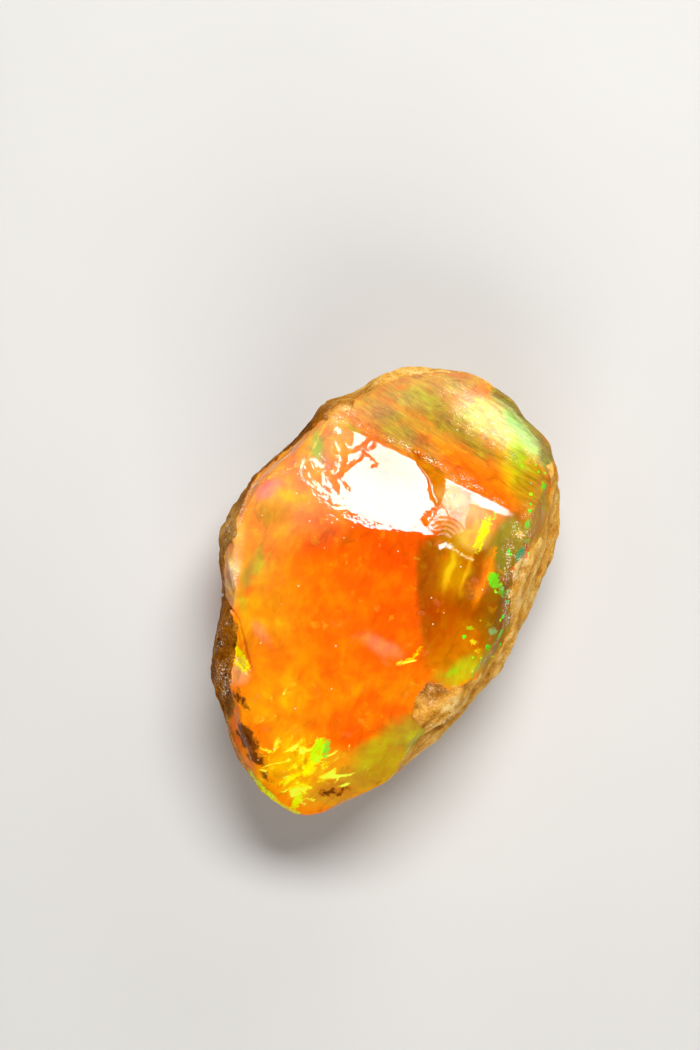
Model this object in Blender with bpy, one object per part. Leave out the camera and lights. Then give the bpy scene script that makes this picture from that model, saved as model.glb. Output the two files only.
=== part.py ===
"""Rough opal: one glassy nodule with a thin sandy rind, lying on its flattest side.

The stone is a lumpy skin, drawn round a point at its heart, and a set of fracture faces that cut it. Along
every direction from the heart the stone ends at whatever comes first: the skin or one of the faces.
World units are metres, +Z is up and the stone's length runs along Y. Sizes below are in millimetres.
"""

import math
from typing import NamedTuple

import bmesh
import bpy
from mathutils import Vector, noise

MM = 0.001
STONE_NAME = "opal"
COLLECTION_NAME = "rough_opal"

# The girdle is the level at which the stone is widest.
GIRDLE_HEIGHT = 12.0
HEART = Vector((0.0, 0.0, GIRDLE_HEIGHT))
CROWN_RISE = 24.0
KEEL_DROP = 14.4
CROWN_FULLNESS = 2.4
KEEL_FULLNESS = 2.2

# Corners of the outline at the girdle, seen from above, counter-clockwise from the +X side.
RIM = (
    (19.2, 0.0),
    (20.9, 4.8),
    (21.6, 9.6),
    (21.2, 13.8),
    (19.6, 18.2),
    (16.8, 21.5),
    (11.8, 26.4),
    (4.4, 27.9),
    (2.4, 27.7),
    (-3.9, 24.7),
    (-6.9, 24.0),
    (-10.5, 19.8),
    (-14.1, 16.1),
    (-20.4, 8.2),
    (-20.1, 0.0),
    (-21.2, -4.9),
    (-21.6, -12.0),
    (-20.5, -14.3),
    (-17.5, -22.4),
    (-12.2, -27.4),
    (-9.1, -27.9),
    (-5.1, -26.0),
    (0.0, -23.8),
    (2.9, -20.9),
    (6.8, -17.9),
    (9.7, -15.0),
    (14.5, -9.4),
    (16.0, -5.5),
    (18.5, -1.9),
)

# Relief of the weathered skin: broad lumps, then the ledges of its layers, then small pits.
LUMP_HEIGHT = 0.55
LUMP_SIZE = 7.0
LUMP_ROUGHNESS = 0.9
LUMP_LACUNARITY = 2.1
LUMP_OCTAVES = 3
LEDGE_HEIGHT = 0.40
LEDGE_SPACING = 2.6
LEDGE_LENGTH = 16.0
LEDGE_LEVEL = 0.6
PIT_DEPTH = 0.45
PIT_SIZE = 3.2
PIT_THRESHOLD = 0.25

# The surface starts as a cube whose sides each carry this many cells both ways.
CELLS_PER_SIDE = 28
# A point is pulled on to an arris that passes within this share of a cell, in a few ever finer steps.
SNAP_SHARE = 0.46
SNAP_ROUNDS = 3
# Radians to look aside when the slope between two surfaces is measured.
PROBE_ANGLE = 0.004
# Two surfaces that meet at less than this slope make no arris.
SOFT_ARRIS = 0.16
# Distance given to a surface that a ray never meets.
UNREACHED = 1000.0

BODY_COLOUR = (1.0, 0.27, 0.02, 1.0)
BODY_ROUGHNESS = 0.12
BODY_IOR = 1.45
BODY_TRANSMISSION = 0.35


class Face:
    """One fracture face of the stone.

    at is a point of the face, lean the compass direction that it looks to (0 is +X, 90 is +Y) and tilt its
    angle away from straight up. curve is the radius of the ball it belongs to: above zero the face bulges,
    below zero it is hollow, and zero is flat. A weathered face carries the skin's relief.
    """

    def __init__(self, name, at, lean, tilt, curve, weathered=False):
        self.name = name
        self.curve = curve
        self.weathered = weathered
        lean = math.radians(lean)
        tilt = math.radians(tilt)
        level = Vector((math.cos(lean), math.sin(lean), 0.0))
        self.facing = level * math.sin(tilt) + Vector((0.0, 0.0, math.cos(tilt)))
        self.offset = Vector(at) - HEART
        self.centre = self.offset - self.facing * curve

    def reach(self, ray):
        """Distance from the heart to the face along a ray."""
        closing = ray.dot(self.facing)
        if closing <= 0:
            return UNREACHED
        if self.curve == 0:
            return self.offset.dot(self.facing) / closing
        along = ray.dot(self.centre)
        inside = along**2 + self.curve**2 - self.centre.length_squared
        if inside < 0:
            return UNREACHED
        if self.curve > 0:
            return along + math.sqrt(inside)
        near = along - math.sqrt(inside)
        return near if near > 0 else UNREACHED


class Swell(NamedTuple):
    """A knob of the surface, or a dent where its height is below zero."""

    name: str
    at: tuple
    radius: float
    height: float


FACES = (
    Face("window", (-3.0, -5.0, 25.8), 240, 4, 120),
    Face("brow", (-4.0, 13.5, 24.6), 97, 13, 150),
    Face("sliver", (5.6, 12.8, 24.35), 80, 10, -7),
    Face("wedge", (9.0, 12.0, 24.6), 60, 14, 150),
    Face("crown_slope", (9.9, 12.8, 24.2), 63, 34, 110),
    Face("scoop", (10.6, 3.0, 24.9), 20, 8, -16),
    Face("right_slope", (13.4, -1.0, 25.0), 350, 26, 90),
    Face("right_rind", (17.0, 0.0, 17.8), 342, 68, 90, True),
    Face("right_shoulder", (8.0, -8.0, 25.0), 318, 18, 90),
    Face("rind_break", (9.9, -13.0, 18.1), 308, 68, -35, True),
    Face("olive_bevel", (1.2, -18.6, 22.7), 282, 36, 60),
    Face("fire_slope", (-10.0, -21.0, 22.2), 245, 22, 80),
    Face("left_shoulder", (-16.0, 0.0, 24.5), 183, 15, 120),
    Face("left_rind", (-17.6, -16.0, 21.8), 205, 64, 90, True),
    Face("left_chip", (-18.0, -7.0, 22.6), 185, 50, -10),
    Face("upper_left_strip", (-12.4, 15.4, 23.7), 122, 30, 150),
    Face("upper_left_rind", (-12.0, 18.0, 20.6), 130, 66, 0, True),
    Face("top_rind", (5.0, 25.6, 17.0), 85, 66, 0, True),
    Face("upper_right_rind", (16.9, 20.3, 16.6), 40, 66, 0, True),
    Face("keel_left", (-14.5, 3.0, 3.6), 172, 132, 60),
    Face("keel_right", (15.5, 3.0, 3.2), 352, 128, 50, True),
    Face("keel_top", (5.0, 21.5, 3.0), 78, 132, 55),
    Face("keel_bottom", (-8.0, -21.5, 3.2), 256, 130, 60, True),
    Face("keel_corner", (11.0, -11.0, 2.6), 318, 136, -40),
    Face("keel_scallop", (-13.5, -9.0, 4.0), 200, 124, -26),
)
BASE = Face("base", (0.0, 0.0, 0.0), 0, 180, 0)

SWELLS = (
    Swell("rind_lump", (6.6, -14.2, 20.5), 3.6, 1.5),
    Swell("lump_pit", (4.8, -11.8, 23.0), 2.0, -0.9),
    Swell("top_bump", (-5.8, 22.2, 19.0), 2.4, 0.8),
)


def rim_radii():
    """The outline as (compass angle, distance from the heart), in order of angle."""
    polar = [(math.atan2(y, x) % math.tau, math.hypot(x, y)) for x, y in RIM]
    return sorted(polar)


RIM_RADII = rim_radii()


def rim_radius(angle):
    """Distance from the heart to the outline, on a smooth cubic curve through its corners."""
    angle %= math.tau
    count = len(RIM_RADII)
    after = next((i for i, corner in enumerate(RIM_RADII) if corner[0] > angle), count)
    turns, radii = [], []
    for offset in (-2, -1, 0, 1):
        lap, index = divmod(after + offset, count)
        turns.append(RIM_RADII[index][0] + lap * math.tau)
        radii.append(RIM_RADII[index][1])
    span = turns[2] - turns[1]
    share = (angle - turns[1]) / span
    start_slope = (radii[2] - radii[0]) / (turns[2] - turns[0]) * span
    end_slope = (radii[3] - radii[1]) / (turns[3] - turns[1]) * span
    return (
        radii[1] * (1 + 2 * share) * (1 - share) ** 2
        + radii[2] * share**2 * (3 - 2 * share)
        + start_slope * share * (1 - share) ** 2
        - end_slope * share**2 * (1 - share)
    )


def relief(point):
    """Height of the weathered skin's lumps, ledges and pits at a point, in millimetres."""
    lumps = noise.fractal(point / LUMP_SIZE, LUMP_ROUGHNESS, LUMP_LACUNARITY, LUMP_OCTAVES)
    layered = Vector((point.x / LEDGE_LENGTH, point.y / LEDGE_LENGTH, point.z / LEDGE_SPACING))
    ledges = LEDGE_LEVEL - 2 * abs(noise.noise(layered))
    pits = max(0.0, noise.noise(point / PIT_SIZE) - PIT_THRESHOLD)
    return LUMP_HEIGHT * lumps + LEDGE_HEIGHT * ledges - PIT_DEPTH * pits / (1 - PIT_THRESHOLD)


def skin_reach(ray):
    """Distance from the heart to the smooth skin along a ray."""
    flat = math.hypot(ray.x, ray.y)
    rise = CROWN_RISE if ray.z > 0 else KEEL_DROP
    fullness = CROWN_FULLNESS if ray.z > 0 else KEEL_FULLNESS
    across = flat / rim_radius(math.atan2(ray.y, ray.x))
    return (across**fullness + abs(ray.z / rise) ** fullness) ** (-1 / fullness)


def swelling(point):
    """Height that the knobs and dents add at a point, in millimetres."""
    return sum(
        swell.height * math.exp(-((point - Vector(swell.at)).length_squared) / swell.radius**2)
        for swell in SWELLS
    )


def reaches(ray):
    """Every surface's distance along a ray, the skin first and the base last."""
    bare = [skin_reach(ray)] + [face.reach(ray) for face in FACES]
    point = HEART + ray * min(bare)
    height = relief(point)
    swelled = swelling(point)
    rough = [True] + [face.weathered for face in FACES]
    raised = [distance + swelled + (height if uneven else 0) for distance, uneven in zip(bare, rough)]
    return raised + [BASE.reach(ray)]


def surface_reach(ray):
    """Distance from the heart to the stone's surface along a ray."""
    return min(reaches(ray))


def side_rays(ray):
    """Two directions square to a ray and to each other."""
    first = ray.orthogonal().normalized()
    return first, ray.cross(first)


def arris_ray(ray, cell_angle):
    """The ray moved on to the arris between the two nearest surfaces, where one passes close by."""
    moved = ray
    for _ in range(SNAP_ROUNDS):
        here = reaches(moved)
        first, second = sorted(range(len(here)), key=here.__getitem__)[:2]
        gap = here[second] - here[first]
        sides = side_rays(moved)
        slopes = []
        for side in sides:
            probe = reaches((moved + side * PROBE_ANGLE).normalized())
            slopes.append((probe[second] - probe[first] - gap) / PROBE_ANGLE)
        steepness = math.hypot(*slopes)
        if steepness < SOFT_ARRIS * here[first]:
            return ray
        step = sum((side * slope for side, slope in zip(sides, slopes)), Vector()) * (gap / steepness**2)
        moved = (moved - step).normalized()
        if moved.angle(ray) > SNAP_SHARE * cell_angle:
            return ray
    return moved


def cube_ray(corner):
    """Direction of a cube point after its grid is evened out over the sphere."""
    evened = Vector([math.tan(value * math.pi / 4) for value in corner])
    return evened.normalized()


def stone_ray(ray):
    """The ray leaned towards the stone's long sides, so that its cells are alike in size."""
    flat = rim_radius(math.atan2(ray.y, ray.x))
    return Vector((ray.x * flat, ray.y * flat, ray.z * GIRDLE_HEIGHT)).normalized()


def split_along_arris(bm):
    """Splits each four-sided cell along the diagonal that lies closer to the surface."""
    for cell in list(bm.faces):
        first, second, third, fourth = cell.verts
        misses = []
        for start, end in ((first, third), (second, fourth)):
            middle = (start.co + end.co) / 2 - HEART
            misses.append(abs(surface_reach(middle.normalized()) - middle.length))
        ends = (first, third) if misses[0] <= misses[1] else (second, fourth)
        bmesh.utils.face_split(cell, *ends)


def centre_on_base(bm):
    """Moves the stone sideways until its outline is centred on the origin."""
    for axis in (0, 1):
        places = [vert.co[axis] for vert in bm.verts]
        middle = (min(places) + max(places)) / 2
        for vert in bm.verts:
            vert.co[axis] -= middle


def opal_mesh():
    """The stone's surface, grown from a cube whose points are moved out to the skin and faces."""
    bm = bmesh.new()
    bmesh.ops.create_cube(bm, size=2.0)
    bmesh.ops.subdivide_edges(bm, edges=bm.edges[:], cuts=CELLS_PER_SIDE - 1, use_grid_fill=True)
    cell_angle = math.pi / 2 / CELLS_PER_SIDE
    for vert in bm.verts:
        ray = arris_ray(stone_ray(cube_ray(vert.co)), cell_angle)
        vert.co = HEART + ray * surface_reach(ray)
    split_along_arris(bm)
    centre_on_base(bm)
    bmesh.ops.scale(bm, vec=(MM, MM, MM), verts=bm.verts[:])
    mesh = bpy.data.meshes.new(STONE_NAME)
    bm.to_mesh(mesh)
    bm.free()
    return mesh


def opal_material():
    """Orange, wet-looking opal that lets some light through."""
    material = bpy.data.materials.new("opal_body")
    material.use_nodes = True
    shader = material.node_tree.nodes["Principled BSDF"]
    shader.inputs["Base Color"].default_value = BODY_COLOUR
    shader.inputs["Roughness"].default_value = BODY_ROUGHNESS
    shader.inputs["Metallic"].default_value = 0.0
    shader.inputs["IOR"].default_value = BODY_IOR
    shader.inputs["Transmission Weight"].default_value = BODY_TRANSMISSION
    return material


def clear_scene():
    """Removes every object that is already in the scene."""
    for old in list(bpy.data.objects):
        bpy.data.objects.remove(old, do_unlink=True)


def build():
    """Makes the stone in a collection of its own."""
    clear_scene()
    collection = bpy.data.collections.new(COLLECTION_NAME)
    bpy.context.scene.collection.children.link(collection)
    stone = bpy.data.objects.new(STONE_NAME, opal_mesh())
    stone.data.materials.append(opal_material())
    collection.objects.link(stone)


build()
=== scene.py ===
"""Rough opal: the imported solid's skin, grown fine, chipped, weathered, coloured and laid on a pale table."""

import logging
import math
from dataclasses import dataclass
from enum import Enum
from typing import Sequence

import bmesh
import bpy
import numpy as np
from bpy.types import Material, Mesh, Node, NodeSocket, NodeTree, Object
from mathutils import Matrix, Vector, noise


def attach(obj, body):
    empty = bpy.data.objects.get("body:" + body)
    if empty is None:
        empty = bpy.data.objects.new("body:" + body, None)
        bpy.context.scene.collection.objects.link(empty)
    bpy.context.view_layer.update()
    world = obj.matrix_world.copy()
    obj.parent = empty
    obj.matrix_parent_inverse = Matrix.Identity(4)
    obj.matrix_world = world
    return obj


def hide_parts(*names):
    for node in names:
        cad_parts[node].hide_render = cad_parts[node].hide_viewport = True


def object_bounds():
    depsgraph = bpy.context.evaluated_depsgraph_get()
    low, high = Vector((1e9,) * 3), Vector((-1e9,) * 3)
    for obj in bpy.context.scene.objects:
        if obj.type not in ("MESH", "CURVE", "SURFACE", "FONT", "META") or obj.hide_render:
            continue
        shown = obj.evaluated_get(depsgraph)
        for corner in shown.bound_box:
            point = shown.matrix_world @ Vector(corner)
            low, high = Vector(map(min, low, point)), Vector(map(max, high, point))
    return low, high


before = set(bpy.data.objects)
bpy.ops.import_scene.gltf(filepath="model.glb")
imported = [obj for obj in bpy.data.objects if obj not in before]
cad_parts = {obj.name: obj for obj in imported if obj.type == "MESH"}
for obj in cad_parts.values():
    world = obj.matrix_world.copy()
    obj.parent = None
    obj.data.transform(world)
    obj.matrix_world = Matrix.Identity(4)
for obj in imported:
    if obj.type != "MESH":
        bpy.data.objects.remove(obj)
CAD_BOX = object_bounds()

LOG = logging.getLogger("opal")
MM = 0.001

Pair = tuple[float, float]
Triple = tuple[float, float, float]
Colour = tuple[int, int, int]
Stops = tuple[tuple[float, Colour], ...]

BODY_COLOUR: Colour = (255, 105, 2)
# Softness of an edge that counts as crisp, and cover from which a place counts as inside a patch.
CRISP = 0.001
COVERED = 0.5
# Distance inwards that stands for no mark at all.
NO_MARK = -1.0
# How far apart the noises of the three axes are taken, so that they have nothing in common.
AXIS_SHIFTS = (0.0, 40.0, 80.0)
# Value about which a finish's noise varies, and the noise that pushes cells out of their even shape.
MIDDLE = 0.5
PUSH_SCALE = 1.2
PUSH_DETAIL = 3.0
# Scale that gives each flake's middle a random direction of its own.
CELL_SCATTER = 3.7


class Layer(Enum):
    """Values that the stone's points carry for its finish."""

    TINT = "tint"
    RIND = "rind"
    RUST = "rust"
    FLASH = "flash"
    FLASH_TINT = "flash_tint"
    STAIN = "stain"
    SATIN = "satin"
    SPARK = "spark"
    RIPPLE = "ripple"
    FLAME = "fire_tongue"
    HOLLOW = "hollow"
    GLOSS = "gloss"
    DULL = "dull"
    # Where pale grains and painted glints show.
    FROST_AND_GLINTS = "frost_and_glints"
    HACKLE = "hackle"
    SHADE = "shade"


def linear(colour: Colour) -> Triple:
    """Scene-linear form of a colour, by the usual curve of a screen.

    Args:
        colour: red, green and blue from 0 to 255, as a screen shows them.

    Returns:
        The three channels from 0 to 1.
    """
    parts = [channel / 255 for channel in colour]
    return tuple(part / 12.92 if part <= 0.04045 else ((part + 0.055) / 1.055) ** 2.4 for part in parts)


def opaque(colour: Colour) -> tuple[float, ...]:
    """The colour as a shader socket takes it."""
    return (*linear(colour), 1.0)


def smooth_step(values: np.ndarray, low: float, high: float) -> np.ndarray:
    """Eased rise from 0 at low to 1 at high.

    Args:
        values: the values to ease.
        low: value at which the rise starts.
        high: value at which it ends; it may be below low.

    Returns:
        The eased values.
    """
    share = np.clip((values - low) / (high - low), 0.0, 1.0)
    return share * share * (3 - 2 * share)


def grain(points: np.ndarray, size: float, octaves: int = 1) -> np.ndarray:
    """Random relief, about -1 to 1, with lumps of one size.

    Args:
        points: places in the stone.
        size: how far apart the lumps are.
        octaves: how many finer layers of lumps are added.

    Returns:
        One height for each place.
    """
    scaled = points / size
    return np.array([noise.fractal(Vector(place), 1.0, 2.0, octaves) for place in scaled])


def wander(points: np.ndarray, size: float, shift: float = 0.0) -> np.ndarray:
    """Random directions, about -1 to 1 along each axis.

    Args:
        points: places in the stone.
        size: how far apart places are that go different ways.
        shift: where the noise is taken, so that two of them differ.

    Returns:
        One direction for each place.
    """
    return np.stack([grain(points + (shift + apart), size, 2) for apart in AXIS_SHIFTS], axis=1)


@dataclass(frozen=True)
class Lumps:
    """Random relief: its height, how far apart its lumps are and how many finer layers they have.

    shift is where its noise is taken, so that two of them differ.
    """

    height: float
    size: float
    octaves: int = 1
    shift: float = 0.0

    def rise(self, points: np.ndarray) -> np.ndarray:
        """Height of the lumps at each place, in millimetres."""
        return self.height * grain(points + self.shift, self.size, self.octaves)


@dataclass(frozen=True)
class Shards:
    """Small flat flakes that each tip their own way: how far apart they are and how steeply they tip.

    shift is where their noise is taken, so that two of them differ.
    """

    size: float
    slope: float
    shift: float = 0.0

    def rise(self, points: np.ndarray) -> np.ndarray:
        """Height of the flakes at each place, in millimetres."""
        heights = np.empty(len(points))
        for index, place in enumerate((points + self.shift) / self.size):
            near = noise.voronoi(Vector(place))[1][0]
            tip = noise.cell_vector(near * CELL_SCATTER)
            heights[index] = (Vector(place) - near).dot(tip) * self.slope * self.size
        return heights


@dataclass(frozen=True)
class Patch:
    """One patch of colour or of another look, seen from above, in millimetres.

    The turn is in degrees, counter-clockwise. soft is the share of the patch over which its edge fades,
    strength is its greatest cover, and square is 2 for an oval and more for a boxy patch.
    """

    name: str
    at: Pair
    half: Pair
    turn: float = 0.0
    soft: float = 0.0
    colour: Colour = BODY_COLOUR
    strength: float = 1.0
    square: float = 2.0

    def spread(self, points: np.ndarray) -> np.ndarray:
        """Distance from the patch's middle, 1 at its edge."""
        turn = math.radians(self.turn)
        x = points[:, 0] - self.at[0]
        y = points[:, 1] - self.at[1]
        along = np.abs(x * math.cos(turn) + y * math.sin(turn)) / self.half[0]
        across = np.abs(y * math.cos(turn) - x * math.sin(turn)) / self.half[1]
        return (along**self.square + across**self.square) ** (1 / self.square)

    def cover(self, points: np.ndarray) -> np.ndarray:
        """How much of the patch each place takes, from 0 to its strength."""
        soft = max(self.soft, CRISP)
        return self.strength * smooth_step(self.spread(points), 1 + soft, 1 - soft)

    def inset(self, points: np.ndarray) -> np.ndarray:
        """Distance inwards from the patch's edge, in millimetres and below zero outside it."""
        return (1 - self.spread(points)) * min(self.half)


def distance_to_run(place: np.ndarray, start: np.ndarray, end: np.ndarray) -> np.ndarray:
    """Distance in plan from each place to a straight run between two corners."""
    run = end - start
    share = np.clip((place - start) @ run / (run @ run), 0.0, 1.0)
    return np.linalg.norm(place - start - share[:, None] * run, axis=1)


@dataclass(frozen=True)
class Outline:
    """A closed line of corners, seen from above, in millimetres."""

    corners: tuple[Pair, ...]

    def outside(self, points: np.ndarray) -> np.ndarray:
        """Distance to the line, above zero outside it and below zero inside.

        Args:
            points: places in the stone.

        Returns:
            One distance for each place.
        """
        place = points[:, :2]
        nearest = np.full(len(place), np.inf)
        inside = np.zeros(len(place), dtype=bool)
        corners = np.array(self.corners)
        for start, end in zip(corners, np.roll(corners, -1, axis=0)):
            nearest = np.minimum(nearest, distance_to_run(place, start, end))
            run = end - start
            crosses = (start[1] > place[:, 1]) != (end[1] > place[:, 1])
            if run[1] != 0:
                reach = start[0] + (place[:, 1] - start[1]) * run[0] / run[1]
                inside ^= crosses & (place[:, 0] < reach)
        return np.where(inside, -nearest, nearest)

    def inset(self, points: np.ndarray) -> np.ndarray:
        """Distance inwards from the line, in millimetres and below zero outside it."""
        return -self.outside(points)


@dataclass(frozen=True)
class Line:
    """An open line on the stone, seen from above, in millimetres.

    fade gives the distances between which its colour fades, as shares of its half width.
    """

    name: str
    corners: tuple[Pair, ...]
    half_width: float
    height: float = 0.0
    colour: Colour = BODY_COLOUR
    strength: float = 1.0
    fade: Pair = (1.4, 0.4)

    def distance(self, points: np.ndarray) -> np.ndarray:
        """Distance in plan from each place to the line."""
        line = np.array(self.corners)
        runs = zip(line[:-1], line[1:])
        return np.min([distance_to_run(points[:, :2], start, end) for start, end in runs], axis=0)

    def inset(self, points: np.ndarray) -> np.ndarray:
        """Distance inwards from the line's side, in millimetres and below zero beyond it."""
        return self.half_width - self.distance(points)

    def cover(self, points: np.ndarray) -> np.ndarray:
        """How much of the line's colour each place takes, fading to its sides."""
        start, full = (self.half_width * share for share in self.fade)
        return self.strength * smooth_step(self.distance(points), start, full)

    def rise(self, points: np.ndarray) -> np.ndarray:
        """Height of the ridge along the line, or of the crack where it is below zero."""
        return self.height * np.exp(-((self.distance(points) / self.half_width) ** 2))


@dataclass(frozen=True)
class Bowl:
    """A shallow shell-shaped break: its middle, half sizes and depth, in millimetres."""

    name: str
    at: Triple
    half: Triple
    depth: float

    def spread(self, points: np.ndarray) -> np.ndarray:
        """Distance from the bowl's middle, 1 at its edge."""
        return np.linalg.norm((points - np.array(self.at)) / np.array(self.half), axis=1)

    def gap(self, points: np.ndarray) -> np.ndarray:
        """Distance outwards from the bowl's edge, in millimetres and below zero inside it."""
        return (self.spread(points) - 1) * min(self.half)

    def rise(self, points: np.ndarray) -> np.ndarray:
        """Height that the bowl adds, below zero inside its crisp edge."""
        return -self.depth * np.clip(1 - self.spread(points) ** 2, 0.0, 1.0)


@dataclass(frozen=True)
class Flake:
    """A patch that broke away at a tilt: its outline, where it starts and how it falls from there.

    edge is half the width of the step round it, in millimetres.
    """

    name: str
    outline: Outline
    hinge: Pair
    fall: Pair
    edge: float = 0.08

    def rise(self, points: np.ndarray) -> np.ndarray:
        """Height that the flake takes away, nothing outside its outline."""
        drop = (points[:, :2] - np.array(self.hinge)) @ np.array(self.fall)
        inside = smooth_step(self.outline.outside(points), self.edge, -self.edge)
        return inside * np.minimum(drop, 0.0)


@dataclass(frozen=True)
class Rings:
    """Fine shell-like waves round the point of a blow, in millimetres.

    facing and spread are the compass direction in which they show and how far they reach to either side. The
    fades are the shares of spread, inner and outer at which the waves start or end, and wobble bends them.
    """

    name: str
    at: Pair
    spacing: float
    inner: float
    outer: float
    facing: float
    spread: float
    height: float
    side_fade: float = 0.6
    inner_fade: float = 0.7
    outer_fade: float = 0.8
    wobble: Lumps = Lumps(0.8, 1.6)

    def rise(self, points: np.ndarray) -> np.ndarray:
        """Height of the waves."""
        x = points[:, 0] - self.at[0]
        y = points[:, 1] - self.at[1]
        away = np.hypot(x, y)
        aside = np.degrees(np.arctan2(y, x)) - self.facing
        aside = np.abs((aside + 180) % 360 - 180)
        shown = smooth_step(aside, self.spread, self.spread * self.side_fade)
        shown = shown * smooth_step(away, self.inner * self.inner_fade, self.inner)
        shown = shown * smooth_step(away, self.outer, self.outer * self.outer_fade)
        return self.height * shown * np.sin(math.tau * away / self.spacing + self.wobble.rise(points))


@dataclass(frozen=True)
class Facet:
    """One fracture face of the glassy side, as the solid has it.

    at is a point of it in millimetres, lean the compass direction that it looks to and tilt its angle away
    from straight up. curve is the radius of the ball it belongs to, below zero where it is hollow.
    """

    name: str
    at: Triple
    lean: float
    tilt: float
    curve: float

    def reach(self, rays: np.ndarray) -> np.ndarray:
        """Distance from the stone's heart to the face along some rays.

        Args:
            rays: directions of length 1.

        Returns:
            One distance for each ray, endless where the ray misses the face.
        """
        lean, tilt = math.radians(self.lean), math.radians(self.tilt)
        level = math.sin(tilt)
        facing = np.array((level * math.cos(lean), level * math.sin(lean), math.cos(tilt)))
        centre = np.array(self.at) + np.array(CENTRING) - np.array(HEART) - facing * self.curve
        along = rays @ centre
        inside = along**2 + self.curve**2 - centre @ centre
        root = np.sqrt(np.maximum(inside, 0.0))
        distance = along + math.copysign(1.0, self.curve) * root
        met = (rays @ facing > 0) & (inside >= 0) & (distance > 0)
        return np.where(met, distance, np.inf)


# How far the solid's faces were moved sideways to centre the stone, and the stone's heart.
CENTRING = (0.196, -0.046, 0.0)
HEART = (*CENTRING[:2], 12.0)
# Fracture faces of the glassy side, as the solid has them.
FACETS = (
    Facet("window", (-3.0, -5.0, 25.8), 240, 4, 120),
    Facet("brow", (-4.0, 13.5, 24.6), 97, 13, 150),
    Facet("wedge", (9.0, 12.0, 24.6), 60, 14, 150),
    Facet("crown_slope", (9.9, 12.8, 24.2), 63, 34, 110),
    Facet("scoop", (10.6, 3.0, 24.9), 20, 8, -16),
    Facet("right_slope", (13.4, -1.0, 25.0), 350, 26, 90),
    Facet("right_shoulder", (8.0, -8.0, 25.0), 318, 18, 90),
    Facet("olive_bevel", (1.2, -18.6, 22.7), 282, 36, 60),
    Facet("fire_slope", (-10.0, -21.0, 22.2), 245, 22, 80),
    Facet("left_shoulder", (-16.0, 0.0, 24.5), 183, 15, 120),
    Facet("left_chip", (-18.0, -7.0, 22.6), 185, 50, -10),
    Facet("upper_left_strip", (-12.4, 15.4, 23.7), 122, 30, 150),
)

# The broken, glassy side's border, where the rind begins.
GLASS = Outline((
    (19.6, 15.4), (20.2, 13.8), (20.2, 12.2), (19.9, 8.9), (19.0, 6.6), (18.0, 5.4), (16.9, 4.1),
    (15.4, 3.1), (15.2, 1.5), (14.9, -0.4), (15.3, -3.1), (15.2, -4.7), (14.3, -6.5), (12.9, -8.6),
    (11.3, -10.2), (9.4, -11.1), (8.6, -11.5), (7.3, -11.7), (6.5, -11.0), (4.7, -10.9), (4.0, -11.8),
    (3.1, -13.9), (3.2, -14.9), (4.1, -16.3), (4.7, -17.2), (3.4, -19.1), (1.9, -20.4), (2.5, -23.5),
    (0.0, -26.0), (-4.4, -28.5), (-10.5, -30.0), (-15.0, -27.5), (-19.0, -22.5), (-20.5, -17.6),
    (-18.9, -15.5), (-18.3, -13.7), (-18.9, -11.9), (-18.9, -9.8), (-18.5, -7.7), (-17.9, -4.2),
    (-18.8, -2.4), (-19.6, -0.9), (-19.9, 0.4), (-20.0, 2.4), (-19.9, 4.2), (-19.4, 5.2), (-18.3, 6.7),
    (-17.9, 9.4), (-16.8, 12.6), (-16.2, 14.0), (-13.9, 16.2), (-11.8, 17.8), (-9.6, 19.5), (-7.5, 20.9),
    (-6.6, 21.6), (-4.4, 22.2), (-3.2, 24.2), (-0.8, 25.1), (1.8, 26.3), (4.0, 27.0), (7.3, 27.3),
    (11.0, 26.9), (14.6, 26.4), (18.6, 22.8), (21.4, 18.6), (21.2, 16.4),
))
# Glassy breaks in the rind of the hidden underside.
UNDER_BREAKS = (
    Bowl("left_break", (-18.0, -1.0, 5.5), (9.0, 7.5, 5.0), 0.9),
    Bowl("top_break", (6.0, 22.5, 5.5), (7.5, 7.0, 4.6), 0.8),
    Bowl("low_break", (-9.0, -19.0, 4.0), (5.0, 7.5, 4.0), 0.7),
    Bowl("right_break", (19.0, 8.0, 7.0), (6.0, 4.5, 3.6), 0.6),
)
# Height at which the upper side ends, and how far below and above it the change is spread.
GIRDLE = 12.5
GIRDLE_FADE = (-1.0, 2.0)
# How the rind's border leans at the girdle, how ragged it is, and how much more so there and in the breaks.
GIRDLE_SLOPE = 0.8
RAGGED = Lumps(0.35, 1.6, 3)
GIRDLE_RAGGED = 2.0
BREAK_RAGGED = 2.4

# Shapes of the breaks that are finer than the solid's own faces, gathered in FINE_SHAPES.
SLIVER = Flake(
    "sliver",
    Outline((
        (3.0, 17.4), (3.7, 16.2), (3.8, 15.5), (5.0, 13.8), (5.3, 12.6), (5.5, 11.4), (6.1, 10.3),
        (6.5, 10.8), (6.9, 11.9), (7.2, 13.1), (6.9, 14.4), (6.2, 15.2), (5.0, 16.1), (3.8, 16.9),
    )),
    (7.3, 13.0),
    (0.19, 0.0),
)
LIP = Line(
    "scoop_lip",
    ((6.3, 5.35), (6.8, 5.6), (7.5, 5.6), (8.1, 5.2), (8.6, 4.8), (9.3, 4.4), (10.3, 3.9)),
    0.17,
    0.10,
)
CRACK = Line(
    "left_crack", ((-20.2, -0.6), (-18.9, -2.2), (-18.0, -3.6), (-17.4, -6.4), (-16.5, -9.5)), 0.13, -0.40
)
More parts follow.
